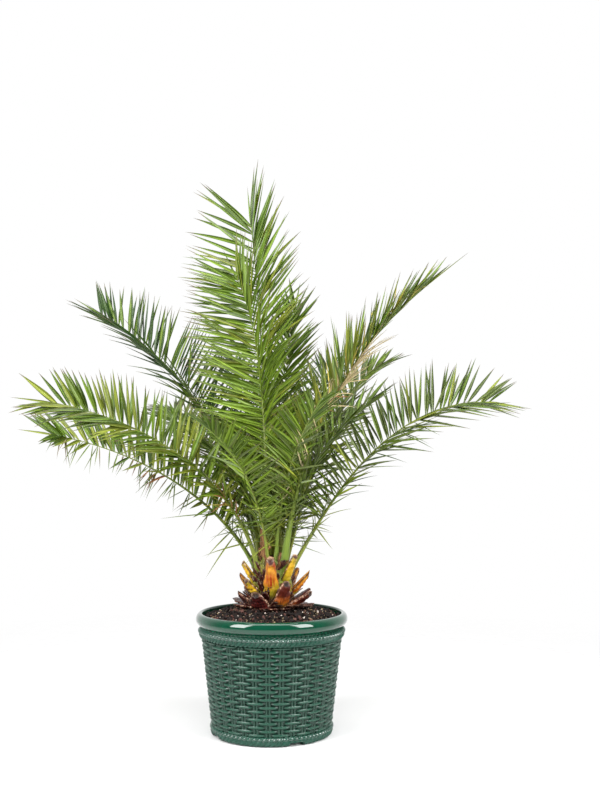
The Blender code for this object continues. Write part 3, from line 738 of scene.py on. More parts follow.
def base_material(name, stops, streak, streak_share, burn_share):
    """Cut leaf bases: colours from the lower edge to the cut, streaks, a burnt middle and a hollowed cut."""
    look = Look(name, 0.38, 0.35)
    along = look.value("along")
    lengthwise = look.lengthwise(1.7)
    flow = look.noise(lengthwise, 1.6, 4.0)
    wander = look.math("ADD", along, look.spread(flow, 0.2, 0.8, -0.2, 0.2))
    streaks = look.spread(flow, 1.0 - streak_share, 1.14 - streak_share, 0.0, 0.85)
    streaked = look.mix(streaks, look.ramp(wander, stops), streak)
    middle = look.spread(look.math("ABSOLUTE", look.value("across")), 0.25, 0.75, burn_share, 0.0)
    height = look.math("MULTIPLY", look.spread(along, 0.14, 0.3), look.spread(along, 0.6, 0.85, 1.0, 0.0))
    patches = look.spread(flow, 0.36, 0.52, 0.25, 1.0)
    burnt = look.mix(look.math("MULTIPLY", look.math("MULTIPLY", middle, height), patches), streaked, streak)
    grime = look.noise(look.place(), 160.0, 4.0, 0.65)
    stained = look.mix(look.spread(grime, 0.58, 0.74, 0.0, 0.7), burnt, (0.06, 0.018, 0.006))
    worn = look.noise(look.place(), 420.0)
    rim = look.ramp(worn, ((0.35, (0.2, 0.1, 0.05)), (0.6, (0.56, 0.38, 0.24))))
    # Painted shade: the cut face darkens to near black in its sunk middle and towards its outer side.
    face = look.mix(look.value("hollow"), rim, (0.035, 0.004, 0.002))
    shade = look.mix(look.value("cut"), stained, face)
    torn = ((0.46, (0.016, 0.005, 0.003)), (0.57, (0.1, 0.035, 0.015)), (0.64, (0.55, 0.38, 0.24)))
    edge = look.ramp(grime, torn)
    look.bump(look.noise(lengthwise, 9.0, 4.0), 0.35, 0.0015)
    return look.painted(look.mix(look.value("edge"), shade, edge))


def husk_material(name, glow):
    """Dry husks: dark maroon with worn tan edges and a lengthwise grain. Glow adds orange low down."""
    look = Look(name, 0.36, 0.4)
    grain = look.noise(look.lengthwise(5.0), 2.2, 5.0, 0.65)
    stops = (
        (0.3, (0.006, 0.002, 0.002)),
        (0.5, (0.03, 0.004, 0.004)),
        (0.62, (0.11, 0.01, 0.007)),
        (0.76, (0.26, 0.06, 0.015)),
    )
    body = look.ramp(grain, stops)
    if glow:
        glowing = ((0.0, (0.42, 0.22, 0.03)), (0.25, (0.4, 0.1, 0.01)), (0.55, (0.1, 0.014, 0.006)))
        ember = look.ramp(look.value("along"), glowing)
        body = look.mix(look.spread(grain, 0.38, 0.56, 0.15, 0.95), body, ember)
    worn = look.noise(look.place(), 260.0, 4.0)
    torn = ((0.42, (0.03, 0.012, 0.008)), (0.52, (0.16, 0.07, 0.04)), (0.62, (0.5, 0.33, 0.22)))
    edge = look.ramp(worn, torn)
    shade = look.mix(look.value("edge"), body, edge)
    cut = look.ramp(worn, ((0.4, (0.06, 0.03, 0.02)), (0.6, (0.3, 0.17, 0.1))))
    # Painted shade: the cut face darkens to near black in its sunk middle and towards its outer side.
    face = look.mix(look.value("hollow"), cut, (0.012, 0.005, 0.004))
    look.bump(grain, 0.5, 0.002)
    return look.painted(look.mix(look.value("cut"), shade, face))


def paper_material():
    """Dry brown sheaths with a lengthwise grain."""
    look = Look("paper", 0.6, 0.25)
    grain = look.noise(look.lengthwise(5.0), 2.4, 5.0, 0.65)
    look.bump(grain, 0.6, 0.002)
    stops = ((0.34, (0.02, 0.008, 0.004)), (0.5, (0.13, 0.05, 0.018)), (0.68, (0.5, 0.28, 0.12)))
    return look.painted(look.ramp(grain, stops))


def fibre_material(name, low, high):
    look = Look(name, 0.75, 0.25)
    return look.painted(look.clouded(350.0, low, high, 4.0)[1])


def soil_material():
    """Dark potting mix with red-brown and tan patches."""
    look = Look("soil", 0.92, 0.2)
    fine = look.noise(look.place(), 300.0, 5.0, 0.7)
    stops = (
        (0.4, (0.001, 0.0006, 0.0005)),
        (0.54, (0.008, 0.004, 0.003)),
        (0.64, (0.045, 0.02, 0.014)),
        (0.8, (0.2, 0.12, 0.08)),
    )
    look.bump(fine, 0.9, 0.004)
    return look.painted(look.ramp(fine, stops))


def wall_radius(height):
    return WALL_FOOT_RADIUS + WALL_SLOPE * height


def inner_radius(height):
    share = (height - INNER_BEND_HEIGHT) / (THROAT_HEIGHT - INNER_BEND_HEIGHT)
    foot = wall_radius(INNER_BEND_HEIGHT) - WALL_THICKNESS
    return foot + (THROAT_RADIUS - foot) * share


def arc(centre, radius_x, radius_z, start, end, count):
    angles = np.radians(np.linspace(start, end, count + 1))
    return [(centre[0] + radius_x * math.cos(a), centre[1] + radius_z * math.sin(a)) for a in angles]


def turned_points(profile, columns):
    profile = np.asarray(profile)
    return polar(all_round(columns)[None, :], profile[:, :1], profile[:, 1:])


def pot_piece(name, points, faces, material, sharp=None, **values):
    """One shape as a piece of the planter."""
    batch = Batch()
    batch.add(points, faces, **values)
    batch.piece(name, material, "pot", ["pot"], sharp)


def weave_relief(azimuth, height):
    """How far the planter's surface stands out of its plain wall, in metres."""
    radius = wall_radius(height)
    turn = (azimuth - STAKE_AZIMUTH) / (360.0 / STAKES)
    off_stake = (turn - np.round(turn)) * (FULL_TURN / STAKES) * radius
    off_rod = np.abs(np.abs(off_stake) - ROD_SPACING / 2) / ROD_HALF_WIDTH
    rods = ROD_CREST + ROD_DEPTH * (np.sqrt(np.clip(1 - off_rod**2, 0, 1)) - 1)
    rods = np.where(off_rod < 1, rods, WEAVE_GROUND)
    row = np.floor((height - WEAVE_FOOT) / STRAND_PITCH)
    off_row = height - WEAVE_FOOT - (row + 0.5) * STRAND_PITCH
    to_under = np.abs((turn - row + 1) % 2 - 1)
    dive = np.clip((to_under - STRAND_DIVE[0]) / (STRAND_DIVE[1] - STRAND_DIVE[0]), 0, 1)
    dive = dive**2 * (3 - 2 * dive)
    off_strand = np.abs(off_row) / (STRAND_HALF_HEIGHT * (1 - (1 - STRAND_PINCH) * dive))
    bow = STRAND_SWING * (1 - 0.25 * to_under - 1.9 * dive)
    strand = bow + STRAND_THICKNESS * (np.clip(1 - off_strand**2.2, 0, 1) ** 0.55 - 1)
    strand = np.where(off_strand < 1, strand, WEAVE_GROUND)
    relief = np.maximum(np.maximum(rods, strand), WEAVE_GROUND)
    return np.where((height > WEAVE_FOOT) & (height < WEAVE_TOP), relief, WEAVE_GROUND)


def wall_azimuths():
    """Azimuths of the wall's points: closer together at the rods."""
    steps = [step * MM / (FULL_TURN / STAKES * wall_radius(WEAVE_TOP / 2)) for step in STAKE_STEPS]
    steps = [-step for step in steps[:0:-1]] + steps + [0.5]
    return np.add.outer(np.arange(STAKES), steps).ravel() * 360.0 / STAKES + STAKE_AZIMUTH


def build_pot_wall():
    azimuths = wall_azimuths()
    rows = math.ceil((WEAVE_TOP - WEAVE_FOOT) / STRAND_PITCH)
    weave = WEAVE_FOOT + np.add.outer(np.arange(rows) + 0.5, STRAND_STEPS).ravel() * STRAND_PITCH
    weave = weave[(weave > WEAVE_FOOT) & (weave < WEAVE_TOP)][::-1]
    plain = [RIM_SEAM, PLAIN_RING, WEAVE_TOP + 0.1 * MM]
    heights = np.concatenate([plain, weave, [WEAVE_FOOT, FOOT_SEAM]])
    relief = weave_relief(azimuths[None, :], heights[:, None])
    outer = polar(azimuths[None, :], wall_radius(heights)[:, None] + relief, heights[:, None])
    inner_heights = np.array([FOOT_SEAM, INNER_BEND_HEIGHT, RIM_SEAM])
    inner_radii = np.array([inner_radius(INNER_BEND_HEIGHT) - 2 * MM, *inner_radius(inner_heights[1:])])
    inner = polar(azimuths[None, :], inner_radii[:, None], inner_heights[:, None])
    points = np.concatenate([outer, inner])
    faces = grid_faces(len(points), len(azimuths), wrap_rows=True)[:, ::-1]
    # How far each point stands out of the weave's ground, which paints shade into the gaps.
    height_for_gap_shade = np.clip((relief - WEAVE_GROUND) / (STRAND_SWING - WEAVE_GROUND), 0, 1)
    height_for_gap_shade = np.concatenate([height_for_gap_shade, np.zeros(inner.shape[:2])])
    pot_piece("pot_wall", points, [faces], pot_weave_material(), 70, relief=height_for_gap_shade.ravel())


def build_pot_rim():
    """The rolled rim with the planter's throat inside it."""
    profile = [(inner_radius(RIM_SEAM), RIM_SEAM), (inner_radius(THROAT_START), THROAT_START)]
    profile += [(THROAT_RADIUS, THROAT_HEIGHT - 2 * MM), (THROAT_RADIUS + 0.3 * MM, THROAT_HEIGHT + 1.5 * MM)]
    profile += arc((RIM_CREST_RADIUS, RIM_TOP - 3 * MM), 3.1 * MM, 3 * MM, 170, 100, 5)
    roll = (RIM_CREST_RADIUS, RIM_TOP - RIM_ROLL_RADIUS)
    profile += arc(roll, RIM_RADIUS - RIM_CREST_RADIUS, RIM_ROLL_RADIUS, 88, -78, 22)
    profile += [(wall_radius(RIM_SEAM), 213.2 * MM), (wall_radius(210 * MM) - 0.5 * MM, 210 * MM)]
    faces = grid_faces(len(profile), RIM_COLUMNS, wrap_rows=True)[:, ::-1]
    pot_piece("pot_rim", turned_points(profile, RIM_COLUMNS), [faces], pot_gloss_material(), 40)


def in_notch(azimuths):
    quarter = 360.0 / NOTCH_COUNT
    off_notch = np.abs((azimuths - NOTCH_FIRST_AZIMUTH + quarter / 2) % quarter - quarter / 2)
    return np.radians(off_notch) * FOOT_RADIUS < NOTCH_WIDTH / 2


def build_pot_rope(rope):
    """A twisted rope moulded round the planter. At the foot the drainage notches cut into it."""
    columns = rope.strands * COLUMNS_PER_STRAND
    azimuths = all_round(columns)[None, :]
    around = (np.arange(ROPE_SIDES) * FULL_TURN / ROPE_SIDES)[:, None]
    phase = rope.twist * around - rope.strands * np.radians(azimuths)
    swell = 1 - ROPE_HOLLOW + ROPE_HOLLOW * np.abs(np.cos(phase / 2)) ** 0.8
    height = rope.height * MM
    radius = wall_radius(height) + rope.off_wall * MM + rope.bulge * MM * swell * np.cos(around)
    heights = height + rope.half_height * MM * (0.7 + 0.3 * swell) * np.sin(around)
    heights = np.where(in_notch(azimuths), np.maximum(heights, NOTCH_HEIGHT), heights)
    faces = grid_faces(ROPE_SIDES, columns, wrap_rows=True)
    roughest = rope.roughness + ROUGHNESS_RANGE
    material = pot_plain_material(rope.name, rope.roughness, roughest, rope.specular, ROPE_SHADES)
    pot_piece(rope.name, polar(azimuths, radius, heights), [faces], material)


def build_pot_foot():
    """The plain foot ring with its drainage notches, and the underside."""
    inner = inner_radius(INNER_BEND_HEIGHT) - 2 * MM
    profile = [(inner, FOOT_TOP), (wall_radius(FOOT_TOP) - 0.4 * MM, FOOT_TOP)]
    profile += [(FOOT_RADIUS + off * MM, height * MM) for off, height in FOOT_EDGE]
    profile += [(FOOT_RING_INNER, 0.0), (FOOT_RING_INNER - MM, FLOOR_UNDERSIDE)]
    profile += [(CENTRE_PAD_RADIUS + MM, FLOOR_UNDERSIDE), (CENTRE_PAD_RADIUS, 0.0)]
    points = turned_points(profile, FOOT_COLUMNS)
    ring = np.hypot(points[..., 0], points[..., 1]) > FOOT_RING_INNER - 0.5 * MM
    lifted = np.maximum(points[..., 2], NOTCH_HEIGHT)
    points[..., 2] = np.where(ring & in_notch(all_round(FOOT_COLUMNS))[None, :], lifted, points[..., 2])
    rows = len(profile)
    centres = np.array([[0.0, 0.0, 0.0], [0.0, 0.0, FLOOR_TOP]])
    centre = np.full(FOOT_COLUMNS, rows * FOOT_COLUMNS)
    around = np.arange(FOOT_COLUMNS)
    beside = (around + 1) % FOOT_COLUMNS
    last = (rows - 1) * FOOT_COLUMNS
    bottom = np.stack([last + around, centre, last + beside], axis=-1)
    top = np.stack([around, beside, centre + 1], axis=-1)
    points = np.concatenate([points.reshape(-1, 3), centres])
    faces = [grid_faces(rows, FOOT_COLUMNS)[:, ::-1], bottom, top]
    pot_piece("pot_foot", points, faces, pot_plain_material("pot_plain", 0.2, 0.32, 0.8, FOOT_SHADES), 40)


def build_pot():
    build_pot_wall()
    build_pot_rim()
    for rope in ROPES:
        build_pot_rope(rope)
    build_pot_foot()


def soil_height(radius):
    edge = inner_radius(SOIL_EDGE) - GAP
    share = np.clip((radius - edge) / (SOIL_CROWN_RADIUS - edge), 0, 1)
    return SOIL_EDGE + (SOIL_CROWN - SOIL_EDGE) * np.sin(share * math.pi / 2)


def lumps(points, scale, size):
    """A height at each point, from noise at a few scales."""
    return np.array([noise.fractal(Vector(p) * scale, 0.9, 2.1, 4) for p in points]) * size


def build_soil():
    edge = inner_radius(SOIL_EDGE) - GAP
    radii = np.linspace(edge, SOIL_LAST_RADIUS, SOIL_RINGS)
    azimuths = all_round(SOIL_COLUMNS)
    top = polar(azimuths[None, :], radii[:, None], soil_height(radii)[:, None])
    rise = lumps(top.reshape(-1, 3), 80.0, SOIL_LUMP).reshape(top.shape[:2])
    fade = np.clip((edge - radii) / EDGE_MARGIN, 0, 1)[:, None]
    top[..., 2] += np.clip(rise, *SOIL_LUMP_LIMITS) * fade - SOIL_SINK
    low = polar(azimuths, inner_radius(SOIL_FOOT) - GAP, SOIL_FOOT)[None]
    batch = Batch()
    batch.add(np.concatenate([low, top]), loft_faces(SOIL_RINGS + 1, SOIL_COLUMNS))
    batch.piece("soil_bed", soil_material(), "soil", ["soil"])


def crumb_shape():
    """An octahedron with its edges split once, as points on a ball and triangles."""
    points = [tuple(p) for p in np.concatenate([np.eye(3), -np.eye(3)])]
    index = {}
    faces = []

    def middle(a, b):
        key = (min(a, b), max(a, b))
        if key not in index:
            index[key] = len(points)
            points.append(tuple(unit(np.array(points[a]) + np.array(points[b]))))
        return index[key]

    for x in (0, 3):
        for y in (1, 4):
            for z in (2, 5):
                a, b, c = (x, y, z)
                if np.linalg.det(np.array([points[a], points[b], points[c]])) < 0:
                    b, c = c, b
                ab, bc, ca = middle(a, b), middle(b, c), middle(c, a)
                faces += [(a, ab, ca), (ab, b, bc), (ca, bc, c), (ab, bc, ca)]
    return np.array(points), np.array(faces)


def random_turn():
    """A random rotation matrix."""
    w, x, y, z = unit(rng.normal(size=4))
    return np.array(
        [
            [1 - 2 * (y * y + z * z), 2 * (x * y - z * w), 2 * (x * z + y * w)],
            [2 * (x * y + z * w), 1 - 2 * (x * x + z * z), 2 * (y * z - x * w)],
            [2 * (x * z - y * w), 2 * (y * z + x * w), 1 - 2 * (x * x + y * y)],
        ]
    )


def build_crumbs():
    """Loose crumbs of bark, wood and mineral on the soil."""
    shape, faces = crumb_shape()
    edge = inner_radius(SOIL_EDGE) - EDGE_MARGIN
    for name, count, small, large, flatness, low, high in CRUMBS:
        batch = Batch()
        for _ in range(count):
            radius = edge * math.sqrt(rng.uniform(0.06, 1.0))
            azimuth = rng.uniform(0, 360)
            size = (small + (large - small) * rng.uniform() ** 2.5) * MM
            stretch = np.array([rng.uniform(0.9, 1.7), rng.uniform(0.7, 1.1), flatness])
            uneven = 1 + rng.uniform(-0.28, 0.28, (len(shape), 1))
            turned = (shape * uneven * stretch * size) @ random_turn().T
            centre = polar(azimuth, radius, soil_height(radius) + size * rng.uniform(-0.5, 0.5))
            batch.add(turned + centre, [faces])
        batch.piece(name, fibre_material(name, low, high), "soil", ["soil"], sharp=50)


def trunk_radius(height):
    share = (TRUNK_TOP - height) / (TRUNK_TOP - TRUNK_FOOT)
    side = TRUNK_NECK_RADIUS + (TRUNK_FOOT_RADIUS - TRUNK_NECK_RADIUS) * np.clip(share, 0, 1) ** TRUNK_FLARE
    into_cap = np.clip((height - TRUNK_TOP + TRUNK_CAP) / TRUNK_CAP, 0, 1)
    return side * np.sqrt(1 - into_cap**2)


def trunk_axis(height):
    height = np.asarray(height, float)
    return np.stack([TRUNK_LEAN * (height - TRUNK_FOOT), np.zeros_like(height), height], axis=-1)


def build_trunk():
    """The trunk under its leaf bases: rings of old scars, with coarse upright fibres."""
    lift = np.sin(np.linspace(0, math.pi / 2, TRUNK_ROWS))
    heights = TRUNK_FOOT + (TRUNK_TOP - 0.3 * MM - TRUNK_FOOT) * lift
    azimuths = all_round(TRUNK_COLUMNS)
    wave = 0.5 * np.sin(np.radians(azimuths * 5))
    scars = np.abs(np.sin(math.pi * (heights[:, None] / SCAR_SPACING + wave)))
    fibres = np.sin(np.radians(azimuths * BARK_FIBRES))[None, :] * np.ones((TRUNK_ROWS, 1))
    seeds = polar(azimuths[None, :], 1.0, heights[:, None] * 6)
    rough = lumps(seeds.reshape(-1, 3), 9.0, BARK_LUMP).reshape(TRUNK_ROWS, TRUNK_COLUMNS)
    relief = -SCAR_DEPTH * (1 - scars) + BARK_FIBRE_HEIGHT * fibres
    relief = relief + np.clip(rough, *BARK_LUMP_LIMITS) - BARK_SINK
    radius = np.maximum(trunk_radius(heights)[:, None] + relief, 1 * MM)
    batch = Batch()
    points = polar(azimuths[None, :], radius, 0.0) + trunk_axis(heights)[:, None, :]
    batch.add(points, loft_faces(TRUNK_ROWS, TRUNK_COLUMNS))
    bark = fibre_material("bark", (0.014, 0.006, 0.004), (0.1, 0.04, 0.022))
    batch.piece("trunk_bark", bark, "trunk", ["trunk"])


def stub_path(stub, share):
    """The middle of a leaf base's inner face. Below its root it lies on the trunk."""
    foot = stub.foot * MM
    start = trunk_axis(foot) + polar(stub.azimuth, trunk_radius(foot) - STUB_SINK, 0.0)
    steps = 24
    places = np.linspace(0, max(share, 0.0), steps + 1)
    lean = np.radians(stub.lean + STUB_OUTWARD_BEND * (places[:-1] + places[1:]) / 2)
    along = polar(stub.azimuth, np.sin(lean), np.cos(lean))
    point = start + (along * stub.length * MM * max(share, 0.0) / steps).sum(axis=0)
    if share < 0:
        down = polar(stub.azimuth, 0.12, -1.0)
        point = point + down * (-share * stub.length * MM)
    lean = math.radians(stub.lean + STUB_OUTWARD_BEND * share)
    return point, polar(stub.azimuth, math.cos(lean), -math.sin(lean))


def smoothed(values):
    for _ in range(3):
        values[1:-1] = np.convolve(values, (0.25, 0.5, 0.25), "valid")
    return values


def stub_rings(stub, thickness, seed, ragged, shares, angles):
    """Rings of points from a leaf base's root to its slanting cut end, and how worn each point is."""
    half = smoothed(0.5 * stub.width * MM * np.interp(shares, STUB_SHARES, STUB_WIDTHS[stub.tone]))
    depth = smoothed(thickness * np.interp(shares, STUB_SHARES, STUB_DEPTHS))
    across = polar(stub.azimuth + 90, 1.0, 0.0)
    side, height = np.cos(angles), np.sin(angles)
    bulge = np.where(height >= 0, np.abs(height) ** 0.8, -0.12 * np.abs(height))
    rings = []
    wear = []
    for i, share in enumerate(shares):
        centre, outward = stub_path(stub, share)
        along = np.cross(across, outward)
        along = along if along[2] > 0 else -along
        places = [Vector((seed * 7.3, i * 12.0 / len(shares), s * 1.5)) for s in side]
        wave = 1 + ragged * np.array([noise.noise(p) for p in places])
        offset = depth[i] * bulge * (1 - 0.1 * np.abs(side)) * wave + 0.18 * depth[i] * side**4
        short = SLANT[stub.tone] * offset * max(0.0, share - SLANT_START) / (1 - SLANT_START)
        fine = np.array([noise.noise(3 * p) for p in places])
        jagged = ragged * JAG * MM * max(0.0, share - JAG_START) / 0.2 * fine
        ring = centre + across * (half[i] * side * wave)[:, None] + outward * offset[:, None]
        rings.append(ring + along * (jagged - short)[:, None])
        wear.append(np.clip((np.abs(side) - 0.9) / 0.1, 0, 1) + max(0.0, share / STUB_SHARES[0]) ** 0.7)
    return rings, wear


def add_stub(batch, stub, thickness, seed, ragged, rings=STUB_RINGS, sides=STUB_SIDES):
    """A leaf base: flat inside, bulging outside, with ragged edges and a hollowed cut end."""
    shares = np.linspace(STUB_SHARES[0], 1.0, rings)
    angles = np.linspace(0, FULL_TURN, sides, endpoint=False)
    points, wear = stub_rings(stub, thickness, seed, ragged, shares, angles)
    across = polar(stub.azimuth + 90, 1.0, 0.0)
    outward = stub_path(stub, 1.0)[1]
    upwards = points[-1].mean(axis=0) - points[0].mean(axis=0)
    faces = facing_out(loft_faces(rings + len(CUT_RINGS), sides), across, outward, upwards)
    points += cut_rings(points, thickness)
    # How dark the cut face is painted: painted shade in its sunk middle and towards the outer side.
    inner = 0.5 - 0.5 * np.sin(angles)
    solid = np.zeros((rings - 1) * sides)
    hollow = np.concatenate([solid, 1 - inner, 1 - inner, 1 - 0.4 * inner, np.ones(sides)])
    batch.add(
        np.concatenate(points),
        faces,
        along=np.repeat([*shares] + [1.0] * len(CUT_RINGS), sides),
        across=np.tile(np.cos(angles), len(points)),
        edge=np.clip(np.concatenate([*wear, np.zeros(sides * len(CUT_RINGS))]), 0, 1),
        cut=np.repeat([0.0] * (rings - 1) + [0.6] + [1.0] * len(CUT_RINGS), sides),
        hollow=hollow,
        seed=seed,
    )


def cut_rings(points, thickness):
    """Rings of a cut face, which is sunk in the middle."""
    rim = points[-1]
    middle = rim.mean(axis=0)
    inwards = unit(points[-3].mean(axis=0) - middle)
    return [middle + (rim - middle) * scale + inwards * (sunk * thickness) for scale, sunk in CUT_RINGS]


def build_bases():
    """One piece for each cut leaf base and husk."""
    materials = {
        "yellow": base_material("base_yellow", YELLOW_BASE, (0.2, 0.04, 0.006), 0.4, 0.2),
        "orange": base_material("base_orange", ORANGE_BASE, (0.26, 0.014, 0.003), 0.46, 1.0),
        "brown": husk_material("husk", False),
        "glow": husk_material("husk_glow", True),
    }
    for kind, stubs, thickness, ragged, seed in (
        ("leaf_base", STUBS, STUB_THICKNESS, 0.22, 0.0),
        ("husk", HUSKS, HUSK_THICKNESS, 0.5, 0.5),
    ):
        for i, stub in enumerate(stubs):
            batch = Batch()
            add_stub(batch, stub, thickness, i + seed, ragged)
            node = f"{kind}_{i + 1:02d}"
            slot = "husk" if stub.tone == "brown" else "leaf_base"
            material = materials["glow" if node in GLOWING else stub.tone]
            batch.piece(f"{node}_skin", material, slot, [node], sharp=50)
    build_flakes(materials["brown"])
    build_fibres()


def build_flakes(husk):
    """Ragged scraps of old sheaths that stand round the trunk between the cut bases."""
    paper = paper_material()
    for name, count, heights, leans, lengths, widths, thickness in FLAKES:
        batch = Batch()
        for i in range(count):
            foot = rng.uniform(*heights)
            low = (heights[1] - foot) / (heights[1] - heights[0])
            lean = leans[0] + (leans[1] - leans[0]) * low**2 + rng.uniform(-10, 10)
            stub = Stub(rng.uniform(0, 360), foot, lean, rng.uniform(*lengths), rng.uniform(*widths))
            add_stub(batch, stub, thickness, 40.0 + i, 0.7, FLAKE_RINGS, FLAKE_SIDES)
        papery = name == "trunk_papers"
        for i, stub in enumerate(PAPERS if papery else ()):
            add_stub(batch, stub, PAPER_THICKNESS, 90.0 + i, 0.8, PAPER_RINGS, PAPER_RINGS)
        batch.piece(name, paper if papery else husk, "husk", ["trunk"], sharp=40)


def add_fibre(batch, longest, widest):
    """One loose strand, bent and pointed."""
    azimuth = rng.uniform(0, 360)
    foot = rng.uniform(*FIBRE_FEET) * MM
    start = trunk_axis(foot) + polar(azimuth, trunk_radius(foot) - 1 * MM, 0.0)
    turn = rng.normal(0, FIBRE_TURN)
    heading = polar(azimuth, math.sin(math.radians(rng.uniform(*FIBRE_LEANS))), 1.0)
    heading = unit(heading + polar(azimuth + 90, math.tan(math.radians(turn)) * 0.8, 0.0))
    side = unit(np.cross(heading, polar(azimuth, 1.0, 0.0)))
    out = np.cross(side, heading)
    length = longest * MM * rng.uniform(0.35, 1.0)
    bend = rng.normal(0, FIBRE_BEND, 2)
    shares = np.linspace(0, 1, FIBRE_RINGS + 1)[:, None]
    centre = start + heading * (length * shares) + (side * bend[0] + out * bend[1]) * (length * shares**2)
    width = widest * MM * (1 - 0.8 * shares[:-1])
    section = FIBRE_SECTION[:, :1] * side + FIBRE_SECTION[:, 1:] * out
    points = centre[:-1, None, :] + width[:, None, :] * section
    points = np.concatenate([points.reshape(-1, 3), centre[-1:]])
    batch.add(points, loft_faces(FIBRE_RINGS, len(FIBRE_SECTION), pointed=True))


def build_fibres():
    """Loose strands of sheath fibre on the trunk."""
    for name, count, longest, widest, low, high in FIBRES:
        batch = Batch()
        for _ in range(count):
            add_fibre(batch, longest, widest)
        batch.piece(name, fibre_material(name, low, high), "husk", ["trunk"])


class Rib:
    """The curve of one frond's stalk and midrib, with a frame of directions along it."""

    def __init__(self, frond):
        self.frond = frond
        self.foot_azimuth = frond.azimuth if frond.foot_azimuth is None else frond.foot_azimuth
        self.length = frond.length * MM
        foot = frond.foot * MM
        start = trunk_axis(foot) + polar(self.foot_azimuth, trunk_radius(foot) - RIB_SINK, 0.0)
        middles = (np.arange(RIB_SAMPLES) + 0.5) / RIB_SAMPLES
        steps = self.tangent(middles) * (self.length / RIB_SAMPLES)
        self.points = np.concatenate([[start], start + np.cumsum(steps, axis=0)])
        self.shares = np.linspace(0, 1, RIB_SAMPLES + 1)

    def rise(self, share):
        frond = self.frond
        return np.radians(frond.rise_start + (frond.rise_end - frond.rise_start) * share**frond.bend)

    def heading(self, share):
        return self.frond.azimuth + self.frond.sway * share

    def tangent(self, share):
        return polar(self.heading(share), np.cos(self.rise(share)), np.sin(self.rise(share)))

    def point(self, share):
        share = np.clip(share, 0, 1)
        return np.stack([np.interp(share, self.shares, self.points[:, axis]) for axis in range(3)], axis=-1)

    def frame(self, share):
        """Directions along the rib, to its row of leaflets nearer the back, and out of its upper face."""
        share = np.asarray(share, float)
        rise = self.rise(share)
        along = self.tangent(share)
        upper = polar(self.heading(share), -np.sin(rise), np.cos(rise))
        back = np.cross(along, upper)
        if math.cos(math.radians(self.frond.azimuth)) > 0:
            back = -back
        roll = np.radians(self.frond.roll) * np.minimum(1.0, share / ROLL_DONE)
        turn = np.cos(roll)[..., None], np.sin(roll)[..., None]
        return along, back * turn[0] + upper * turn[1], upper * turn[0] - back * turn[1]

    def half_width(self, share):
        base = RIB_BASE_SHARE * self.length
        return RIB_TIP_HALF_WIDTH + (base - RIB_TIP_HALF_WIDTH) * (1 - share) ** RIB_TAPER


def sheath(rib, centre, back, upper, down):
    """Middles and directions of the rings that run down from a stalk's foot and turn to clasp the trunk."""
    heights = centre[2] - SHEATH_LENGTH * down
    clasp = np.sqrt(down)[:, None]
    across = polar(rib.foot_azimuth + 90, 1.0, 0.0)
    across = across * np.sign(np.dot(across, back))
    radii = trunk_radius(heights) - RIB_SINK * (1 - clasp[:, 0]) - SHEATH_SINK * clasp[:, 0]
    low_centre = trunk_axis(heights) + polar(rib.foot_azimuth, radii[:, None], 0.0).reshape(-1, 3)
    low_back = unit(back * (1 - clasp) + across * clasp)
    low_upper = unit(upper * (1 - clasp) + polar(rib.foot_azimuth, -1.0, 0.0) * clasp)
    return low_centre, low_back, low_upper


def add_rib(batch, rib):
    """Stalk and midrib: channelled above, keeled below, running down into a sheath that clasps the trunk."""
    name = rib.frond.name
    shares = np.linspace(0, 1, RIB_RINGS) ** 1.25
    along, back, upper = rib.frame(shares)
    base = np.clip(1 - shares / BASE_SPAN, 0, 1) ** 2
    stout = STOUTNESS + STOUT_STALKS.get(name, 0.0)
    half = rib.half_width(shares) * (1 + stout * np.clip(1 - shares / STOUT_SPAN, 0, 1) + BASE_GIRTH * base)
    centre = rib.point(shares)
    down = np.linspace(1, 1 / SHEATH_RINGS, SHEATH_RINGS)
    low = sheath(rib, centre[0], back[0], upper[0], down)
    low_half = half[0] * (1 + SHEATH_GIRTH * down)
    wrap = low_half**2 / (2 * trunk_radius(low[0][:, 2])) * down
    centre, back, upper = (np.concatenate(pair) for pair in zip(low, (centre, back, upper)))
    half = np.concatenate([low_half, half])
    thin = np.concatenate([1 - SHEATH_THINNING * down, np.ones(RIB_RINGS)])
    wrap = np.concatenate([wrap, np.zeros(RIB_RINGS)])
    angles = np.linspace(0, FULL_TURN, RIB_SIDES, endpoint=False)
    side = np.cos(angles)
    height = np.where(np.sin(angles) > 0, STALK_CROWN, STALK_KEEL) * np.sin(angles)
    height = height - STALK_CHANNEL * (np.sin(angles) > 0) * (1 - side**2) ** 2
    wide = (half[:, None] * side)[..., None]
    rise = ((half * thin)[:, None] * height + wrap[:, None] * side**2)[..., None]
    points = centre[:, None, :] + back[:, None, :] * wide + upper[:, None, :] * rise
    faces = facing_out(loft_faces(len(centre), RIB_SIDES), back[-1], upper[-1], along[-1])
    tone = np.concatenate([SHEATH_SHARE * (1 - down), SHEATH_SHARE + (1 - SHEATH_SHARE) * shares])
    tint = 1.0 if name in GREEN_STALKS else rng.uniform(0.0, 0.6)
    # Edge is how near each point lies to the stalk's side, where shade is painted.
    edge = np.tile(np.abs(side), len(centre))
    # Painted shade along the middle of the shaded ribs
    if name in SHADED_RIBS:
        edge = edge + np.repeat(np.interp(tone, *RIB_SHADE_SPAN), RIB_SIDES)
    batch.add(points, faces, along=np.repeat(tone, RIB_SIDES), edge=edge, tint=tint)


def aim(directions, row, spread, lift):
    """A direction off the rib. Spread is its angle to the rib, and lift its angle out of the blade."""
    along, back, upper = directions
    spread = math.radians(spread)
    lift = math.radians(lift)
    outward = back * (row * math.cos(lift)) + upper * math.sin(lift)
    return along * math.cos(spread) + outward * math.sin(spread)


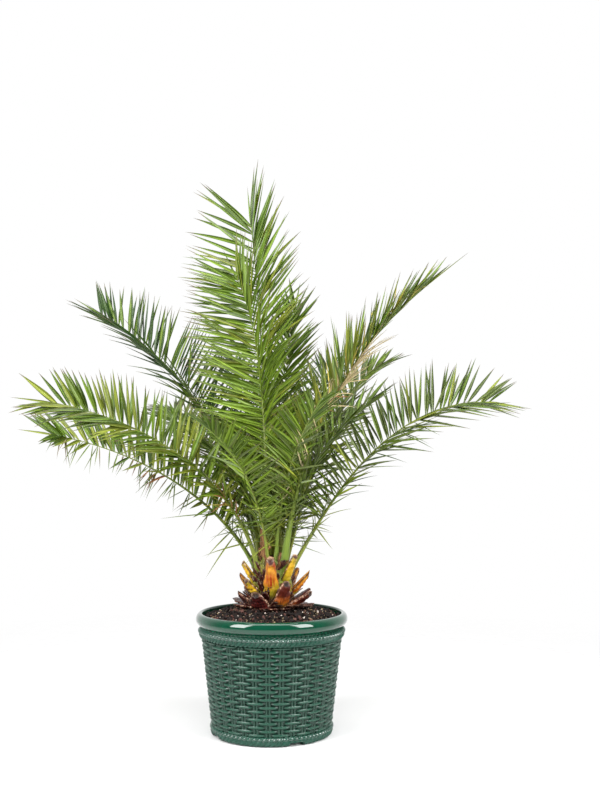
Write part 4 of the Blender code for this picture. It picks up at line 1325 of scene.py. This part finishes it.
def add_spines(batch, rib):
    """Stiff spines on the stalk below the leaflets, longer towards them."""
    span = LEAF_ZONE_START - SPINE_FIRST
    count = round(span * rib.length / SPINE_SPACING)
    turn = (np.arange(SPINE_SIDES) * FULL_TURN / SPINE_SIDES)[:, None]
    for row in ROWS:
        for i in range(count):
            share = SPINE_FIRST + span * (i + rng.uniform(0.1, 0.9)) / count
            rank = (share - SPINE_FIRST) / span
            directions = rib.frame(share)
            direction = aim(directions, row, rng.uniform(*SPINE_SPREADS), rng.uniform(*SPINE_LIFTS))
            across = unit(np.cross(direction, directions[2]))
            section = np.cos(turn) * across + np.sin(turn) * np.cross(direction, across)
            length = (SPINE_LENGTH[0] + SPINE_LENGTH[1] * rank) * MM * rng.uniform(0.7, 1.2)
            half = (SPINE_HALF[0] + SPINE_HALF[1] * rank) * MM
            root = rib.point(share) + directions[1] * (row * 0.6 * rib.half_width(share))
            rings = [root + direction * (length * t) + section * (half * width) for t, width in SPINE_RINGS]
            points = np.concatenate([*rings, [root + direction * length]])
            faces = loft_faces(len(SPINE_RINGS), SPINE_SIDES, pointed=True)
            batch.add(points, faces, along=share + 0.2, edge=0.0, tint=0.5)


def leaf_length_share(zone, taper):
    if zone < LONGEST_ZONE:
        return 0.6 + 0.4 * math.sin(math.pi / 2 * zone / LONGEST_ZONE)
    return 1.0 - taper * ((zone - LONGEST_ZONE) / (1 - LONGEST_ZONE)) ** 2


def leaf_of(rib, zone, row, fan=0.0):
    """One leaflet, by the model's own rule. Fan turns it within its group."""
    frond = rib.frond
    share = LEAF_ZONE_START + (1 - LEAF_ZONE_START) * zone
    directions = rib.frame(share)
    spread = SPREAD_START - SPREAD_LOSS * zone - SPREAD_TIP_LOSS * zone**5 + frond.skew * row - 5 * fan
    spread = spread - CLOSER.get(frond.name, 0) + rng.normal(0, 7.5 - 5 * zone)
    opened = OPEN_ANGLE * min(1.0, (1 - zone) / OPEN_ZONE) if (frond.name, row) == OPEN_ROW else 0.0
    lift = LIFT_START - opened - LIFT_LOSS * zone + frond.vee + (9 - 5 * zone) * fan
    lift = lift + rng.normal(0, 14 - 10 * zone)
    direction = aim(directions, row, spread, lift)
    lift = math.radians(lift)
    face = directions[2] * math.cos(lift) - directions[1] * (row * math.sin(lift))
    across = unit(np.cross(direction, face))
    face = np.cross(across, direction)
    length_share = leaf_length_share(zone, frond.taper)
    length = frond.leaf * MM * length_share * np.clip(rng.normal(1.0, 0.05), 0.86, 1.1)
    if row < 0:
        length *= frond.front_share
    width = LEAF_WIDTH * (0.62 + 0.38 * length_share) * rng.uniform(0.88, 1.1)
    width *= LEAF_GIRTH.get(frond.name, 1.0)
    root = rib.point(share) - direction * (0.5 * rib.half_width(share))
    twist = rng.normal(0, 0.28)
    turned = across * math.cos(twist) + face * math.sin(twist)
    face = face * math.cos(twist) - across * math.sin(twist)
    fold = rng.uniform(0.5, 0.85)
    curl = rng.normal(0, 0.05 - 0.03 * zone)
    return Leaf(root, direction, turned, face, length, width, fold, rng.uniform(0.0, 0.08), curl)


def loose_leaf(rib, share, row, spread, lift, length, width):
    """A leaflet off the common rule."""
    directions = rib.frame(share)
    direction = aim(directions, row, spread, lift)
    across = unit(np.cross(direction, directions[2]))
    face = np.cross(across, direction)
    droop = rng.uniform(*LOOSE_DROOP)
    curl = rng.normal(0, LOOSE_CURL)
    return Leaf(rib.point(share), direction, across, face, length * MM, width * MM, LOOSE_FOLD, droop, curl)


def blade_profile(share):
    rise = 0.3 + 0.7 * np.sin(math.pi / 2 * np.clip(share / WIDEST, 0, 1))
    fall = (1 - np.clip((share - WIDEST) / (1 - WIDEST), 0, 1) ** 1.5) ** 1.15
    return rise * fall


def add_blade(batch, leaf, shares, pointed, own):
    """Part of a leaflet: a blade folded along its middle, with a keel below. Own is the leaflet's shade."""
    shares = np.append(shares, 1.0) if pointed else shares
    t = shares[:, None]
    centre = leaf.root + leaf.along * (leaf.length * t)
    centre = centre + leaf.face * (leaf.curl * leaf.length * t**2)
    centre[:, 2] -= leaf.droop * leaf.length * shares**2
    half = 0.5 * leaf.width * blade_profile(shares)
    fold = leaf.fold * (1 - 0.45 * shares)
    wide = (half * np.cos(fold))[:, None] * SECTION_SIDE
    high = (half * np.sin(fold))[:, None] * SECTION_UP - (0.35 * MM + 0.12 * half)[:, None] * SECTION_KEEL
    points = centre[:, None, :] + wide[..., None] * leaf.across + high[..., None] * leaf.face
    points = points.reshape(-1, 3)
    rings = len(shares)
    sides = len(SECTION_SIDE)
    if pointed:
        rings -= 1
        points = np.concatenate([points[:-sides], centre[-1:]])
    off = np.tile(SECTION_SIDE, rings + 1)[: len(points)]
    # Half carries the painted shade of one half of the leaflet, and side the painted highlight along its fold.
    values = {"side": np.abs(off), "half": 0.5 + 0.5 * np.sign(off), "own": own}
    values["along"] = np.repeat(shares, sides)[: len(points)]
    batch.add(points, loft_faces(rings, sides, pointed), **values)


def add_leaflet(batches, leaf, tone, green_tip, light=0.0):
    """The blade in its own tone, and its dry tip. Light shifts its shade."""
    own = float(np.clip(rng.uniform(0, 1) + light, 0, 1.2))
    add_blade(batches[tone], leaf, BLADE_SHARES, False, own)
    add_blade(batches[tone if green_tip else "tip"], leaf, TIP_SHARES, True, own)


def dry_tone(frond, row, zone):
    for name, dry_row, low, high, share, tone in DRY:
        if frond.name == name and row == dry_row and low <= zone <= high and rng.uniform() < share:
            return tone
    return None


def add_row(batches, rib, row):
    """A row of leaflets in groups, fewer and wider towards the frond's tip, and some of them dry."""
    frond = rib.frond
    tones = list(MIXES[frond.mix])
    odds = list(MIXES[frond.mix].values())
    missing, end = BARE.get((frond.name, row), (0.0, 0.0))
    count = round((1 - LEAF_ZONE_START) * rib.length / LEAF_SPACING)
    for i in range(count):
        fan = i % LEAF_GROUP - (LEAF_GROUP - 1) / 2
        place = i - GROUP_CLOSENESS * fan
        zone = min((place + 0.5 + 0.1 * row + rng.uniform(-0.2, 0.2)) / count, 1.0)
        if zone < end and rng.uniform() < missing:
            continue
        near_tip = max(0.0, (zone - TIP_ZONE) / (1 - TIP_ZONE))
        if rng.uniform() < TIP_GAPS * near_tip:
            continue
        leaf = leaf_of(rib, zone, row, fan)
        leaf = leaf._replace(width=leaf.width * (1 + TIP_WIDENING * near_tip))
        dry = dry_tone(frond, row, zone)
        tone = dry or rng.choice(tones, p=odds)
        if dry:
            droop = rng.uniform(*DRY_DROOP)
            leaf = leaf._replace(droop=droop, width=leaf.width * DRY_WIDTH, curl=rng.normal(0, DRY_CURL))
        light = LIGHT_START - LIGHT_LOSS * zone - LEAF_SHADE.get(frond.name, 0.0)
        add_leaflet(batches, leaf, tone, rng.uniform() < GREEN_TIPS, light)


def add_strays(batches, rib):
    """Long, thin and stiff leaflets at the foot of the blade, which point every way."""
    for row in ROWS:
        for _ in range(STRAYS):
            place = rng.uniform(*STRAY_SPAN)
            angles = rng.uniform(*STRAY_SPREADS), rng.uniform(*STRAY_LIFTS)
            sizes = rng.uniform(*STRAY_LENGTHS), rng.uniform(*STRAY_WIDTHS)
            leaf = loose_leaf(rib, place, row, *angles, *sizes)
            add_leaflet(batches, leaf, rng.choice(STRAY_TONES), True, STRAY_LIGHT)


def add_loose(batches, rib):
    """Loose and dead leaflets of one frond."""
    for loose in LOOSE:
        if loose.frond != rib.frond.name:
            continue
        for _ in range(loose.count):
            place = rng.uniform(*loose.span)
            angles = rng.uniform(*loose.spreads), rng.uniform(*loose.lifts)
            length = rng.uniform(*loose.lengths)
            row = rng.choice(loose.rows)
            leaf = loose_leaf(rib, place, row, *angles, length, loose.width * rng.uniform(0.7, 1.0))
            add_leaflet(batches, leaf, rng.choice(loose.tones), True)


def end_leaf(rib):
    """The leaflet that carries on the rib at the frond's end."""
    length = rib.frond.leaf * MM * END_LEAF_SHARE
    width = LEAF_WIDTH * END_LEAF_SHARE
    return Leaf(rib.point(END_LEAF_PLACE), *rib.frame(1.0), length, width, 0.6, 0.02, 0.0)


def build_fronds():
    """All stalks as one piece, and one piece for each leaf tone."""
    batches = {tone: Batch() for tone in LEAF_TONES}
    stalks = Batch()
    for frond in FRONDS:
        rib = Rib(frond)
        add_rib(stalks, rib)
        for row in ROWS:
            add_row(batches, rib, row)
        add_spines(stalks, rib)
        add_strays(batches, rib)
        add_loose(batches, rib)
        add_leaflet(batches, end_leaf(rib), list(MIXES[frond.mix])[0], False)
    nodes = [f"frond_{frond.name}" for frond in FRONDS]
    stalks.piece("frond_stalks", stalk_material(), "frond", nodes, sharp=55)
    for tone, (color, other, roughness, slot) in LEAF_TONES.items():
        material = leaf_material(f"leaf_{tone}", color, other, roughness)
        batches[tone].piece(f"leaf_{tone}_blades", material, slot, nodes, sharp=24)


def build_floor():
    """A pale floor that fades into the white backdrop."""
    mesh = bpy.data.meshes.new("floor")
    edge = polar(all_round(STAGE_FLOOR_SIDES), STAGE_FLOOR_RADIUS, 0.0)
    mesh.from_pydata(edge.tolist(), [], [list(range(STAGE_FLOOR_SIDES))])
    floor = put("floor", mesh)
    look = Look("floor", 0.6, 0.2)
    look.shader.inputs["Base Color"].default_value = STAGE_FLOOR_COLOR
    away = look.add("ShaderNodeVectorMath", {0: look.place()}, operation="LENGTH").outputs["Value"]
    inputs = {"Value": away, "From Min": STAGE_FLOOR_FADE[0], "From Max": STAGE_FLOOR_FADE[1]}
    fade = look.add("ShaderNodeMapRange", inputs, interpolation_type="SMOOTHSTEP")
    clear = look.add("ShaderNodeBsdfTransparent")
    look.blend(fade.outputs["Result"], look.shader.outputs[0], clear.outputs[0], "Material Output")
    mesh.materials.append(look.material)


def build_surround():
    """White to the camera. As light it is bright behind the plant and dim on the camera's side."""
    world = bpy.data.worlds.new("surround")
    bpy.context.scene.world = world
    graph = Graph(world)
    direction = graph.add("ShaderNodeTexCoord").outputs["Generated"]
    back = graph.add("ShaderNodeSeparateXYZ", {"Vector": direction}).outputs["Y"]
    grey = [(at, (level, level, level)) for at, level in SURROUND]
    light = graph.nodes["Background"]
    graph.links.new(graph.ramp(graph.spread(back, -1.0, 1.0), grey), light.inputs["Color"])
    white = graph.add("ShaderNodeBackground", {"Color": WHITE, "Strength": 1.0})
    seen = graph.add("ShaderNodeLightPath").outputs["Is Camera Ray"]
    graph.blend(seen, light.outputs[0], white.outputs[0], "World Output")


def add_soft_box(name, turn, elevation, distance, size, watts):
    """A rectangular light that faces the plant. Turn is in degrees to the right of its front."""
    light = bpy.data.lights.new(name, "AREA")
    light.shape = "RECTANGLE"
    light.size, light.size_y = size
    light.energy = watts
    box = put(name, light)
    away = Vector(polar(turn - 90, math.cos(math.radians(elevation)), math.sin(math.radians(elevation))))
    box.location = Vector(SOFT_BOX_TARGET) + away * distance
    box.rotation_euler = (-away).to_track_quat("-Z", "Y").to_euler()
    box.visible_camera = False
    box.visible_glossy = name not in UNSEEN_BOXES


def build_camera():
    data = bpy.data.cameras.new("camera")
    data.lens = CAMERA_LENS
    camera = put("camera", data)
    camera.location = CAMERA_PLACE
    camera.rotation_euler = (math.radians(90 + CAMERA_PITCH), 0, math.radians(-CAMERA_YAW))
    bpy.context.scene.camera = camera


def build_stage():
    """The camera, the floor, the surround and the soft boxes round the plant."""
    bpy.context.scene.view_settings.view_transform = "Standard"
    build_camera()
    build_floor()
    build_surround()
    for box in SOFT_BOXES:
        add_soft_box(*box)


build_pot()
build_soil()
build_crumbs()
build_trunk()
build_bases()
build_fronds()
build_stage()
